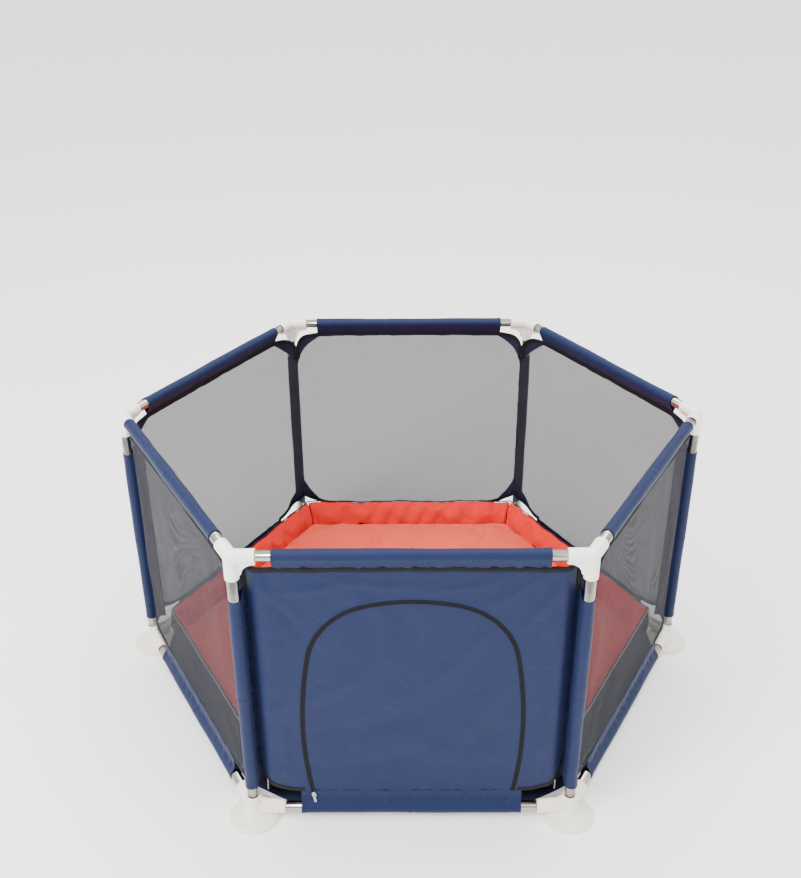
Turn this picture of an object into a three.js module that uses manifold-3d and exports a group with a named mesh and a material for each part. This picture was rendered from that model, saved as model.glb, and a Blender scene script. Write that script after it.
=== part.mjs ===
// A hexagonal playpen: a frame of steel tubes in plastic corner connectors and
// feet, a sewn fabric cover with five mesh walls, a zipped door wall and a floor,
// and a quilted mat with raised edges that lies inside.
// Millimetres, +Z up. The origin is on the ground under the pen's centre, and the
// door wall faces -Y.
import * as THREE from 'three';
import { mergeVertices } from 'three/addons/utils/BufferGeometryUtils.js';
import Module from 'manifold-3d';

const wasm = await Module();
wasm.setup();

// ---- Driving dimensions -----------------------------------------------------

const SIDES = 6;
const POST_RADIUS = 650;            // pen centre to the axis of each corner post
const LOW_AXIS = 28;                // axis of the bottom rails above the ground
const HIGH_AXIS = 650;              // axis of the top rails above the ground
const GAP = 0.4;                    // clearance between neighbouring solids

const TURN = (2 * Math.PI) / SIDES;
const SIDE_LENGTH = 2 * POST_RADIUS * Math.sin(TURN / 2);
const APOTHEM = POST_RADIUS * Math.cos(TURN / 2);

const TUBE = { radius: 11, bore: 10, sides: 10 };
const SPIGOT = { radius: 9.5, bore: 8.5, length: 36, taper: 3 };

const CONNECTOR = {                 // top corner, measured from the axes' crossing
  radius: 14, arm: 45, leg: 54, boreStop: 15, crown: 14.3, web: 10, sides: 12,
};
const FOOT = {                      // bottom corner, measured from the rails' axis
  radius: 14, arm: 66, neck: 33, boreStop: 26, postStop: -9, web: 10, sides: 12,
};
const FOOT_DISC = {                 // its round base, measured from the ground
  radius: 52, rim: 7, shoulder: 34, shoulderHigh: 14, throat: 20, throatHigh: 22,
  neckHigh: 38, sides: 16,
};
const SEAT = 1;                     // clearance between a tube's end and its socket's floor
const SINK = 1;                     // how far joined pieces of one solid run into each other
const SOCKET_BORE = TUBE.radius + GAP;

const CLOTH = 2.5;                  // thickness of the sewn walls
const CUT_DEPTH = 20;               // depth of the cutters that open the door wall
const LOOP = { bore: 12.2, radius: 13.6, sides: 10 };
const TOP_SLEEVE = 503;             // length of the sleeve on a top rail
const LOW_SLEEVE = 451;             // length of the sleeve on a bottom rail
const POST_SLEEVE = { low: LOW_AXIS + 60, high: LOW_AXIS + 521, seam: 617.5, web: 3 };

const WALL = {
  top: HIGH_AXIS - 32,              // upper edge beside the top sleeve
  hem: LOW_AXIS + 45,               // seam between the sheet and the bottom sleeve
  half: 304,                        // half width, to the corner seams
  bend: 286,                        // where the sheet turns in towards the seam
  seamDepth: 25,                    // how far the edges stand behind the rails
  topRound: 20,                     // rounding of the upper corners
  lowRise: 40,                      // height that the lower corners are cut back
  lowSweep: 22,                     // how far in from the seam that cut turns down
  lap: 2,                           // overlap of the sheet and its sleeves and seams
};

const DOOR = {                      // three-centred arch, seen from outside
  centre: 3, top: 548, half: 217, widest: 235,
  sideRadius: 1000, cornerRadius: 148, topRadius: 376, zipGap: 3,
};

const FLOOR = { thickness: 2, edge: APOTHEM - LOOP.radius - 0.9, cornerRadius: 603 };

const MAT = {
  side: 600, height: 80, wall: 25, edgeIn: 8, edgeDown: 6,
  padEdge: 14, padSlope: 70, padShoulder: 34, padCrown: 46,
};

const SLIDER = { width: 9, height: 13, front: 2.2, back: 1.6, waist: 2, park: 63.5 };
const LUG = { width: 2.2, height: 3.2, depth: 3.4, root: 0.5 };
const PULL = {
  width: 5.4, length: 18, thickness: 1.2, slot: 3.2, slotDepth: 3, above: 1.3,
  stand: 1.9, chamfer: 2, chamferIn: 1,
};

const SIDE_NAMES = ['front', 'front_right', 'back_right', 'back', 'back_left', 'front_left'];
const CORNER_NAMES = ['front_left', 'front_right', 'right', 'back_right', 'back_left', 'left'];
const FIRST_CORNER = (4 * Math.PI) / 3;   // direction of the front left post

// ---- Finishes ---------------------------------------------------------------

const finish = (color, roughness, metalness = 0) =>
  new THREE.MeshStandardMaterial({ color, roughness, metalness });

const FINISH = {
  steel: () => finish(0xc9c6bd, 0.22, 1),
  plastic: () => finish(0xeceade, 0.35),
  navy: () => finish(0x3a4f78, 0.7),
  netting: () => finish(0x34363c, 0.85),
  red: () => finish(0xf9705f, 0.8),
  black: () => finish(0x231c1b, 0.85),
  zipMetal: () => finish(0x8d9094, 0.3, 1),
};

// ---- Solids -----------------------------------------------------------------

/** Turns a closed three.js geometry into a manifold solid. */
function solid(geometry) {
  const bare = geometry.clone();
  bare.deleteAttribute('normal');
  bare.deleteAttribute('uv');
  const merged = mergeVertices(bare, 1e-4);
  return new wasm.Manifold(new wasm.Mesh({
    numProp: 3,
    vertProperties: new Float32Array(merged.attributes.position.array),
    triVerts: new Uint32Array(merged.index.array),
  }));
}

/** Turns a manifold solid back into a three.js geometry. */
function geometryOf(body) {
  const mesh = body.getMesh();
  const geometry = new THREE.BufferGeometry();
  geometry.setAttribute('position', new THREE.BufferAttribute(mesh.vertProperties, 3));
  geometry.setIndex(new THREE.BufferAttribute(mesh.triVerts, 1));
  geometry.computeVertexNormals();
  return geometry;
}

const join = (solids) => solids.reduce((whole, piece) => whole.add(piece));
const point = (x, y) => new THREE.Vector2(x, y);

/** A round bar between two points, with a corner of its section straight up. */
function bar(from, to, radius, sides) {
  const along = new THREE.Vector3().subVectors(to, from);
  const middle = new THREE.Vector3().addVectors(from, to).multiplyScalar(0.5);
  const turn = new THREE.Quaternion().setFromUnitVectors(
    new THREE.Vector3(0, 1, 0), along.clone().normalize());
  const geometry = new THREE.CylinderGeometry(radius, radius, along.length(), sides);
  geometry.applyQuaternion(turn);
  geometry.translate(middle.x, middle.y, middle.z);
  return geometry;
}

/** A flat outline in the X-Z plane, made thick along Y about the given depth. */
function upright(outline, thickness, depth, holes = []) {
  const shape = new THREE.Shape(outline);
  shape.holes = holes.map((hole) => new THREE.Path(hole));
  const geometry = new THREE.ExtrudeGeometry(shape, { depth: thickness, bevelEnabled: false });
  geometry.rotateX(Math.PI / 2);
  geometry.translate(0, depth + thickness / 2, 0);
  return geometry;
}

/** A flat outline in the X-Y plane, from one height to another. */
function flat(outline, low, high) {
  const geometry = new THREE.ExtrudeGeometry(
    new THREE.Shape(outline), { depth: high - low, bevelEnabled: false });
  geometry.translate(0, 0, low);
  return geometry;
}

/** A turned ring about +Z from a closed profile of [radius, height] pairs. */
function turned(profile, sides) {
  const geometry = new THREE.LatheGeometry(profile.map(([r, h]) => point(r, h)), sides);
  geometry.rotateX(Math.PI / 2);
  return geometry;
}

/** Points along an arc, both ends included. */
function arc(centreX, centreY, radius, start, end, steps) {
  return Array.from({ length: steps + 1 }, (_, i) => {
    const angle = start + ((end - start) * i) / steps;
    return point(centreX + radius * Math.cos(angle), centreY + radius * Math.sin(angle));
  });
}

const direction = (angle) => new THREE.Vector3(Math.cos(angle), Math.sin(angle), 0);

// ---- Assembly ---------------------------------------------------------------

const group = new THREE.Group();
group.name = 'playpen';

function place(parent, name, geometry, material) {
  const mesh = new THREE.Mesh(geometry, material);
  mesh.name = name;
  parent.add(mesh);
  return mesh;
}

const corners = CORNER_NAMES.map((name, i) => {
  const corner = new THREE.Group();
  const angle = FIRST_CORNER + i * TURN;
  corner.position.set(POST_RADIUS * Math.cos(angle), POST_RADIUS * Math.sin(angle), 0);
  corner.rotation.z = angle;
  group.add(corner);
  return { name, corner };
});

const sides = SIDE_NAMES.map((name, i) => {
  const side = new THREE.Group();
  side.rotation.z = i * TURN;
  group.add(side);
  return { name, side };
});

// ---- Steel tubes ------------------------------------------------------------

/** Half a rail whose reduced end plugs into the other half. */
function plainHalf(start, middle) {
  return turned([
    [TUBE.bore, start], [TUBE.radius, start], [TUBE.radius, middle - SPIGOT.taper],
    [SPIGOT.radius, middle], [SPIGOT.radius, middle + SPIGOT.length],
    [SPIGOT.bore, middle + SPIGOT.length], [SPIGOT.bore, middle - SPIGOT.taper],
    [TUBE.bore, middle - 2 * SPIGOT.taper], [TUBE.bore, start],
  ], TUBE.sides);
}

/** A plain tube along +Z between two heights: a steel tube, or a loop of cloth. */
function tube(start, end, { bore, radius, sides: n } = TUBE) {
  return turned([[bore, start], [radius, start], [radius, end], [bore, end], [bore, start]], n);
}

/** Lays a tube that was turned about +Z along +X, a corner of its section straight up. */
function layAsRail(geometry, height) {
  geometry.rotateZ(Math.PI / 2);
  geometry.rotateY(Math.PI / 2);
  geometry.translate(0, -APOTHEM, height);
  return geometry;
}

function addRails(level, height, endGap) {
  const end = SIDE_LENGTH / 2 - endGap;
  for (const { name, side } of sides) {
    place(side, `${level}_rail_${name}_plug_half`,
      layAsRail(plainHalf(-end, 0), height), FINISH.steel());
    place(side, `${level}_rail_${name}_socket_half`,
      layAsRail(tube(GAP, end), height), FINISH.steel());
  }
}

function addPosts() {
  const low = LOW_AXIS + FOOT.postStop + SEAT;
  const high = HIGH_AXIS - CONNECTOR.boreStop - SEAT;
  for (const { name, corner } of corners) {
    place(corner, `post_${name}`, tube(low, high), FINISH.steel());
  }
}

// ---- Plastic corners --------------------------------------------------------

const ARM_ANGLES = [Math.PI - TURN, Math.PI + TURN];

/**
 * Curved web in the corner between an arm and the upright socket. It leaves the socket
 * at `inner` from the axis and height `tip`, and meets the arm at `outer` and `root`.
 */
function web(angle, inner, outer, tip, root, thickness) {
  const curve = new THREE.QuadraticBezierCurve(
    point(inner, tip), point(inner, root), point(outer, root));
  const outline = [point(0, root / 5), point(0, tip), ...curve.getPoints(3), point(outer, 0)];
  const geometry = upright(outline, thickness, 0);
  geometry.rotateZ(angle);
  return geometry;
}

function topConnector() {
  const centre = new THREE.Vector3();
  const down = new THREE.Vector3(0, 0, -1);
  const { radius, arm, leg, boreStop, crown, sides: n } = CONNECTOR;
  const legRadius = radius - 0.3;
  const body = [
    solid(new THREE.SphereGeometry(crown, n, n / 2)),
    solid(bar(down.clone().multiplyScalar(leg), centre, legRadius, n)),
  ];
  const bores = [solid(bar(down.clone().multiplyScalar(leg + SINK),
    down.clone().multiplyScalar(boreStop), SOCKET_BORE, TUBE.sides))];
  for (const angle of ARM_ANGLES) {
    const out = direction(angle);
    body.push(solid(bar(centre, out.clone().multiplyScalar(arm), radius, n)));
    body.push(solid(web(
      angle, radius - SINK, arm - SINK, 3 - leg, SINK - radius, CONNECTOR.web)));
    bores.push(solid(bar(out.clone().multiplyScalar(boreStop),
      out.clone().multiplyScalar(arm + SINK), SOCKET_BORE, TUBE.sides)));
  }
  const geometry = geometryOf(join(body).subtract(join(bores)));
  geometry.translate(0, 0, HIGH_AXIS);
  return geometry;
}

function foot() {
  const axis = new THREE.Vector3(0, 0, LOW_AXIS);
  const { radius, arm, neck, boreStop, postStop, sides: n } = FOOT;
  const top = LOW_AXIS + neck;
  const disc = FOOT_DISC;
  const dome = turned([
    [0, 0], [disc.radius, 0], [disc.radius, disc.rim], [disc.shoulder, disc.shoulderHigh],
    [disc.throat, disc.throatHigh], [radius + 0.6, disc.neckHigh], [radius + 0.3, top], [0, top],
  ], disc.sides);
  const body = [solid(dome)];
  const bores = [solid(bar(new THREE.Vector3(0, 0, LOW_AXIS + postStop),
    new THREE.Vector3(0, 0, top + SINK), SOCKET_BORE, TUBE.sides))];
  for (const angle of ARM_ANGLES) {
    const out = direction(angle);
    const reach = (distance) => out.clone().multiplyScalar(distance).add(axis);
    const gusset = web(angle, radius - SINK, arm - 4, neck - 2, radius - SINK, FOOT.web);
    gusset.translate(0, 0, LOW_AXIS);
    body.push(solid(bar(axis, reach(arm), radius, n)));
    body.push(solid(gusset));
    bores.push(solid(bar(reach(boreStop), reach(arm + SINK), SOCKET_BORE, TUBE.sides)));
  }
  return geometryOf(join(body).subtract(join(bores)));
}

function addPlasticCorners() {
  const connectorShape = topConnector();
  const footShape = foot();
  for (const { name, corner } of corners) {
    place(corner, `top_connector_${name}`, connectorShape.clone(), FINISH.plastic());
    place(corner, `foot_${name}`, footShape.clone(), FINISH.plastic());
  }
}

// ---- Door arch --------------------------------------------------------------

/** Outline of the door, grown outwards by the given amount, from its hem up. */
function arch(grow, hem) {
  const side = point(DOOR.half - DOOR.sideRadius, DOOR.widest);
  const crown = point(0, DOOR.top - DOOR.topRadius);
  const reachSide = DOOR.sideRadius - DOOR.cornerRadius;
  const reachTop = DOOR.topRadius - DOOR.cornerRadius;
  const apart = side.distanceTo(crown);
  const along = (reachSide ** 2 - reachTop ** 2 + apart ** 2) / (2 * apart);
  const across = Math.sqrt(reachSide ** 2 - along ** 2);
  const unit = crown.clone().sub(side).divideScalar(apart);
  const corner = point(
    side.x + along * unit.x - across * unit.y,
    side.y + along * unit.y + across * unit.x);
  const sideAngle = Math.atan2(corner.y - side.y, corner.x - side.x);
  const topAngle = Math.atan2(corner.y - crown.y, corner.x - crown.x);
  const sideRadius = DOOR.sideRadius + grow;
  const start = Math.asin((hem - side.y) / sideRadius);
  const half = [
    ...arc(side.x, side.y, sideRadius, start, sideAngle, 7),
    ...arc(corner.x, corner.y, DOOR.cornerRadius + grow, sideAngle, topAngle, 7).slice(1),
    ...arc(crown.x, crown.y, DOOR.topRadius + grow, topAngle, Math.PI / 2, 3).slice(1),
  ];
  const mirrored = half.slice(0, -1).reverse().map((p) => point(-p.x, p.y));
  return [...half, ...mirrored].map((p) => point(p.x + DOOR.centre, p.y));
}

/** Centre of the arc that the door's left leg and its zip follow. */
const ZIP_CENTRE = point(DOOR.centre - DOOR.half + DOOR.sideRadius, DOOR.widest);

// ---- Fabric cover -----------------------------------------------------------

/** Outline of a wall's sheet, with its corners cut back at connectors and feet. */
function wallOutline() {
  const half = WALL.half + WALL.lap;
  const sleeveTop = TOP_SLEEVE / 2;
  const sleeveLow = LOW_SLEEVE / 2;
  const lowCurve = new THREE.QuadraticBezierCurve(
    point(sleeveLow, WALL.hem - WALL.lap), point(half - WALL.lowSweep, WALL.hem + WALL.lap),
    point(half, WALL.hem + WALL.lowRise));
  const right = [
    point(sleeveLow, LOW_AXIS + LOOP.radius - SINK),
    ...lowCurve.getPoints(4),
    ...arc(half - WALL.topRound, WALL.top - WALL.topRound, WALL.topRound, 0, Math.PI / 2, 4),
    point(sleeveTop, WALL.top + WALL.lap),
    point(sleeveTop, HIGH_AXIS - LOOP.radius + SINK),
  ];
  const left = right.slice().reverse().map((p) => point(-p.x, p.y));
  return [...right, ...left];
}

/** The strip that a wall's sheet makes when seen from above. */
function wallStrip() {
  const back = -APOTHEM + WALL.seamDepth;
  const t = CLOTH / 2;
  const outer = [point(WALL.bend, -APOTHEM - t), point(WALL.half + t, back - t)];
  const inner = [point(WALL.half - t, back + t), point(WALL.bend - t, -APOTHEM + t)];
  const mirror = (points) => points.slice().reverse().map((p) => point(-p.x, p.y));
  return flat([...mirror(outer), ...outer, ...inner, ...mirror(inner)], 0, HIGH_AXIS);
}

/** The loop of cloth round a rail. */
function railLoop(length, height) {
  return layAsRail(tube(-length / 2, length / 2, LOOP), height);
}

function wallSolid() {
  const depth = WALL.seamDepth * 2 + CUT_DEPTH;
  const sheet = solid(wallStrip()).intersect(solid(upright(wallOutline(), depth, -APOTHEM)));
  return join([
    sheet,
    solid(railLoop(TOP_SLEEVE, HIGH_AXIS)),
    solid(railLoop(LOW_SLEEVE, LOW_AXIS)),
  ]);
}

/** The door's opening, with the slit that its zip's parked slider sits in. */
function doorOpening() {
  const half = DOOR.zipGap / 2;
  const hole = solid(upright(arch(half, WALL.hem - GAP), CUT_DEPTH, -APOTHEM));
  const slitLow = SLIDER.park - SLIDER.height / 2 - SEAT;
  const angle = (height) => Math.PI + Math.asin((DOOR.widest - height) / DOOR.sideRadius);
  const ends = [angle(WALL.hem + 3), angle(slitLow)];
  const slit = [
    ...arc(ZIP_CENTRE.x, ZIP_CENTRE.y, DOOR.sideRadius + half, ends[0], ends[1], 1),
    ...arc(ZIP_CENTRE.x, ZIP_CENTRE.y, DOOR.sideRadius - half, ends[1], ends[0], 1),
  ];
  return hole.add(solid(upright(slit, CUT_DEPTH, -APOTHEM)));
}

function addWalls() {
  const wall = wallSolid();
  for (const { name, side } of sides) {
    if (name === 'front') {
      place(side, 'door_wall', geometryOf(wall.subtract(doorOpening())), FINISH.navy());
    } else {
      place(side, `mesh_wall_${name}`, geometryOf(wall), FINISH.netting());
    }
  }
}

function addPostSleeves() {
  const { low, high, seam, web: thickness } = POST_SLEEVE;
  const root = (LOOP.bore + LOOP.radius) / 2;
  const reach = POST_RADIUS - seam;
  const flange = new THREE.BoxGeometry(reach - root, thickness, high - low);
  flange.translate(-(reach + root) / 2, 0, (high + low) / 2);
  const shape = geometryOf(solid(tube(low, high, LOOP)).add(solid(flange)));
  for (const { name, corner } of corners) {
    place(corner, `post_sleeve_${name}`, shape.clone(), FINISH.navy());
  }
}

function addFloor() {
  const reach = FLOOR.edge / Math.cos(TURN / 2);
  const cut = (reach - FLOOR.cornerRadius) * Math.tan(TURN);
  const outline = [];
  for (let i = 0; i < SIDES; i += 1) {
    for (const y of [-cut, cut]) {
      outline.push(point(FLOOR.cornerRadius, y).rotateAround(point(0, 0), i * TURN));
    }
  }
  const t = FLOOR.thickness / 2;
  place(group, 'floor_sheet', flat(outline, LOW_AXIS - t, LOW_AXIS + t), FINISH.navy());
}

function addDoor() {
  const flap = upright(arch(-DOOR.zipGap / 2, WALL.hem + GAP), CLOTH, -APOTHEM);
  place(group, 'door_flap', flap, FINISH.navy());
}

// ---- Zip slider -------------------------------------------------------------

const FACE = -APOTHEM - CLOTH / 2;          // outer face of the door wall
const SLIDER_FACE = FACE - GAP - SLIDER.front;
const PULL_AXIS = SLIDER_FACE - PULL.stand;

function addZip() {
  const w = SLIDER.width / 2;
  const s = SLIDER.waist / 2;
  const rear = FACE + CLOTH + GAP;
  const section = [
    point(-w, SLIDER_FACE), point(w, SLIDER_FACE), point(w, FACE - GAP), point(s, FACE - GAP),
    point(s, rear), point(w, rear), point(w, rear + SLIDER.back), point(-w, rear + SLIDER.back),
    point(-w, rear), point(-s, rear), point(-s, FACE - GAP), point(-w, FACE - GAP),
  ];
  const lug = new THREE.BoxGeometry(LUG.width, LUG.depth + LUG.root, LUG.height);
  lug.translate(0, SLIDER_FACE - (LUG.depth - LUG.root) / 2, 0);
  const body = solid(flat(section, -SLIDER.height / 2, SLIDER.height / 2)).add(solid(lug));

  const half = PULL.width / 2;
  const fork = PULL.slot / 2;
  const tip = PULL.length - PULL.chamfer;
  const tipHalf = half - PULL.chamferIn;
  const tab = upright([
    point(-half, PULL.above), point(-half, -tip), point(-tipHalf, -PULL.length),
    point(tipHalf, -PULL.length), point(half, -tip), point(half, PULL.above),
    point(fork, PULL.above), point(fork, -PULL.slotDepth),
    point(-fork, -PULL.slotDepth), point(-fork, PULL.above),
  ], PULL.thickness, PULL_AXIS);

  const rise = SLIDER.park - DOOR.widest;
  const lean = Math.asin(-rise / DOOR.sideRadius);
  const carrier = new THREE.Group();
  carrier.position.set(
    ZIP_CENTRE.x - DOOR.sideRadius * Math.cos(lean), 0, SLIDER.park);
  carrier.rotation.y = -lean;
  group.add(carrier);
  place(carrier, 'zip_slider', geometryOf(body), FINISH.zipMetal());
  place(carrier, 'zip_pull', tab, FINISH.zipMetal());
}

// ---- Mat --------------------------------------------------------------------

function addMat() {
  const base = LOW_AXIS + FLOOR.thickness / 2 + GAP;
  const top = base + MAT.height;
  const inside = MAT.side - MAT.wall / Math.cos(TURN / 2);
  const padSide = inside - GAP * 2;
  const bolster = turned([
    [inside, base], [MAT.side, base], [MAT.side, top - MAT.edgeDown],
    [MAT.side - MAT.edgeIn, top], [inside + MAT.edgeIn, top],
    [inside, top - MAT.edgeDown], [inside, base],
  ], SIDES);
  const pad = turned([
    [0, base], [padSide, base], [padSide, base + MAT.padEdge],
    [padSide - MAT.padSlope, base + MAT.padShoulder], [padSide / 2, base + MAT.padCrown],
    [0, base + MAT.padCrown],
  ], SIDES);
  const cornersToPosts = TURN / 2;
  place(group, 'mat_bolster', bolster.rotateZ(cornersToPosts), FINISH.black());
  place(group, 'mat_pad', pad.rotateZ(cornersToPosts), FINISH.red());
}

addRails('top', HIGH_AXIS, CONNECTOR.boreStop + 1);
addRails('bottom', LOW_AXIS, FOOT.boreStop + 1);
addPosts();
addPlasticCorners();
addWalls();
addPostSleeves();
addFloor();
addDoor();
addZip();
addMat();

export default group;
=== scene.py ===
"""Looks of a hexagonal playpen: steel tubes in ivory plastic corners, a sewn cover with
netting walls and a zipped door, and a quilted mat that lies inside.

Everything is in metres, +Z up, with the door wall towards -Y.
"""
import logging
import math
from collections.abc import Callable, Sequence
from dataclasses import dataclass, field
from enum import Enum

import bpy
import numpy as np
from mathutils import Matrix, Vector


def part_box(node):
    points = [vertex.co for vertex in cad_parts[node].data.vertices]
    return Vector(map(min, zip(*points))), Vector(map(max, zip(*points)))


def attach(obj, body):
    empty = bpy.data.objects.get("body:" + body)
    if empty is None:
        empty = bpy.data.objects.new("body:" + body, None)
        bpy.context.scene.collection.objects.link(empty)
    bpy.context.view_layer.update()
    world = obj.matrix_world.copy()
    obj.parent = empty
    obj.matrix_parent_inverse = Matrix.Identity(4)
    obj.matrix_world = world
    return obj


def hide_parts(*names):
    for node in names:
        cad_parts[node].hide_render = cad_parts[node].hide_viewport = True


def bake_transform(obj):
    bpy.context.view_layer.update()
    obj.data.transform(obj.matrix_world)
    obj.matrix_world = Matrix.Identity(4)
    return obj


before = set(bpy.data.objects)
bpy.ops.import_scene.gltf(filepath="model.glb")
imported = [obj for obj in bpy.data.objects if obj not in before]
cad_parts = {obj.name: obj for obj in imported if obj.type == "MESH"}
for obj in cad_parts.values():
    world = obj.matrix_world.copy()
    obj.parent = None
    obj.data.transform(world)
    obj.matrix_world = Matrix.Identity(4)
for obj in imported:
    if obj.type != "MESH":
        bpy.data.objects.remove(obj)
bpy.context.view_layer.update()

LOG = logging.getLogger("playpen")
MM = 0.001
SIDES = 6
TURN = math.tau / SIDES
SIDE_NAMES = ("front", "front_right", "back_right", "back", "back_left", "front_left")
CORNER_NAMES = ("front_left", "front_right", "right", "back_right", "back_left", "left")
FIRST_CORNER = 4 * math.pi / 3

FLAT_WAYS = tuple((math.cos((k + 0.5) * TURN), math.sin((k + 0.5) * TURN)) for k in range(SIDES))

Numbers = np.ndarray
Piece = bpy.types.Object
Material = bpy.types.Material
Point = Sequence[float]
Colour = tuple[float, float, float, float]


class Slot(Enum):
    """The record's material slots."""

    STEEL = "steel_tube"
    PLASTIC = "white_plastic"
    NAVY = "navy_fabric"
    NETTING = "netting"
    BINDING = "binding"
    RED = "red_fabric"
    BLACK = "black_fabric"
    PIPING = "piping"
    METAL = "zip_metal"


class Level(Enum):
    """The two rings of rails."""

    TOP = "top"
    BOTTOM = "bottom"


# ---- Modelling ----


class Bench:
    """The steps that pieces are modelled with, one piece at a time."""

    @staticmethod
    def clear() -> None:
        """Go back to object mode with nothing selected."""
        if bpy.context.object and bpy.context.object.mode != "OBJECT":
            bpy.ops.object.mode_set(mode="OBJECT")
        bpy.ops.object.select_all(action="DESELECT")

    @staticmethod
    def take(piece: Piece) -> Piece:
        """Make a piece the only selected one and the active one.

        Args:
            piece: The piece to select.

        Returns:
            The same piece.
        """
        Bench.clear()
        piece.select_set(True)
        bpy.context.view_layer.objects.active = piece
        return piece

    @staticmethod
    def edit(piece: Piece) -> None:
        """Open a piece for editing with all of it selected.

        Args:
            piece: The piece to edit.
        """
        Bench.take(piece)
        bpy.ops.object.mode_set(mode="EDIT")
        bpy.ops.mesh.select_all(action="SELECT")

    @staticmethod
    def heal(piece: Piece, capped: bool = False, reach: float = 1e-6) -> Piece:
        """Merge doubled points, close open rims if asked, and turn the faces out.

        Args:
            piece: The piece to mend.
            capped: Whether open rims get a face.
            reach: Distance within which points are one point.

        Returns:
            The same piece.
        """
        Bench.edit(piece)
        bpy.ops.mesh.remove_doubles(threshold=reach)
        if capped:
            bpy.ops.mesh.fill_holes(sides=0)
            bpy.ops.mesh.select_all(action="SELECT")
        bpy.ops.mesh.normals_make_consistent(inside=False)
        bpy.ops.object.mode_set(mode="OBJECT")
        return piece

    @staticmethod
    def draw(name: str, points: Sequence[Point]) -> Piece:
        """Draw a line of edges by extruding one point from place to place.

        Args:
            name: Name of the new piece.
            points: Places along the line, in order.

        Returns:
            A piece that holds only the line.
        """
        Bench.clear()
        bpy.ops.mesh.primitive_plane_add(size=MM)
        piece = bpy.context.object
        piece.name = name
        bpy.ops.object.mode_set(mode="EDIT")
        bpy.ops.mesh.merge(type="CENTER")
        bpy.ops.transform.translate(value=tuple(points[0]))
        for start, end in zip(points, points[1:]):
            step = tuple(b - a for a, b in zip(start, end))
            bpy.ops.mesh.extrude_region_move(TRANSFORM_OT_translate={"value": step})
        bpy.ops.object.mode_set(mode="OBJECT")
        return piece

    @staticmethod
    def turned(name: str, profile: Sequence[tuple[float, float]], steps: int) -> Piece:
        """Spin a profile all the way round +Z.

        Args:
            name: Name of the new piece.
            profile: Pairs of radius and height, closed on itself or ending on the axis.
            steps: Number of faces round the axis.

        Returns:
            The turned piece, closed, with its faces out.
        """
        piece = Bench.draw(name, [(radius, 0.0, height) for radius, height in profile])
        Bench.edit(piece)
        bpy.ops.mesh.spin(steps=steps, angle=math.tau, center=(0, 0, 0), axis=(0, 0, 1))
        return Bench.smooth(Bench.heal(piece))

    @staticmethod
    def slab(name: str, outline: Sequence[Point], thickness: Point) -> Piece:
        """Fill a drawn outline and extrude it.

        Args:
            name: Name of the new piece.
            outline: Corners of the outline, in order, each once.
            thickness: The way and distance of the extrusion.

        Returns:
            The closed slab.
        """
        piece = Bench.draw(name, outline)
        Bench.edit(piece)
        bpy.ops.mesh.edge_face_add()
        bpy.ops.mesh.extrude_region_move(TRANSFORM_OT_translate={"value": tuple(thickness)})
        return Bench.heal(piece)

    @staticmethod
    def bar(name: str, start: Vector, end: Vector, radius: float, sides: int = 48) -> Piece:
        """Add a round bar between two points.

        Args:
            name: Name of the new piece.
            start: Middle of one end.
            end: Middle of the other end.
            radius: Radius of the bar.
            sides: Number of faces round it.

        Returns:
            The closed bar.
        """
        Bench.clear()
        along = end - start
        bpy.ops.mesh.primitive_cylinder_add(vertices=sides, radius=radius, depth=along.length)
        piece = bpy.context.object
        piece.name = name
        turn = along.to_track_quat("Z", "Y").to_matrix().to_4x4()
        piece.data.transform(Matrix.Translation((start + end) / 2) @ turn)
        return piece

    @staticmethod
    def loft(name: str, points: Numbers, cut: tuple[float, float], closed: bool = False) -> Piece:
        """Lay a grid of faces on rows of points.

        Args:
            name: Name of the new piece.
            points: Places as rows x columns x 3. A closed row ends on its first point.
            cut: Width and length of the flat cloth, which the UV map holds in metres.
            closed: Whether the rows join into a tube with filled ends.

        Returns:
            The piece, with columns running along U and rows along V.
        """
        rows, columns = points.shape[:2]
        Bench.clear()
        bpy.ops.mesh.primitive_grid_add(
            x_subdivisions=columns - 1, y_subdivisions=rows - 1, size=2)
        piece = bpy.context.object
        piece.name = name
        mesh = piece.data
        at = np.empty(len(mesh.vertices) * 3, np.float32)
        mesh.vertices.foreach_get("co", at)
        at = (at.reshape(-1, 3) + 1) / 2
        column = np.rint(at[:, 0] * (columns - 1)).astype(int)
        row = np.rint(at[:, 1] * (rows - 1)).astype(int)
        mesh.vertices.foreach_set("co", points[row, column].astype(np.float32).ravel())
        Bench.unwrap(piece, at[:, :2] * np.array(cut, np.float32))
        mesh.update()
        if closed:
            Bench.heal(piece, capped=True)
        return Bench.smooth(piece)

    @staticmethod
    def apply(piece: Piece, kind: str, **settings: object) -> Piece:
        """Add one modifier with its settings and apply it.

        Args:
            piece: The piece to change.
            kind: Blender's name for the kind of modifier.
            **settings: The modifier's settings.

        Returns:
            The same piece.
        """
        Bench.take(piece)
        modifier = piece.modifiers.new(kind, kind)
        for key, value in settings.items():
            setattr(modifier, key, value)
        bpy.ops.object.modifier_apply(modifier=modifier.name)
        return piece

    @staticmethod
    def thicken(piece: Piece, thickness: float) -> Piece:
        """Give a sheet its thickness, half to each side."""
        Bench.apply(piece, "SOLIDIFY", thickness=thickness, offset=0.0, use_even_offset=True)
        return Bench.smooth(piece)

    @staticmethod
    def carve(piece: Piece, tool: Piece, operation: str) -> Piece:
        """Cut a piece with a tool, or keep what they share, and throw the tool away.

        Args:
            piece: The piece to cut.
            tool: The closed shape to cut it with.
            operation: DIFFERENCE or INTERSECT.

        Returns:
            The same piece.
        """
        Bench.apply(piece, "BOOLEAN", object=tool, operation=operation, solver="EXACT")
        bpy.data.objects.remove(tool)
        return piece

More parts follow.
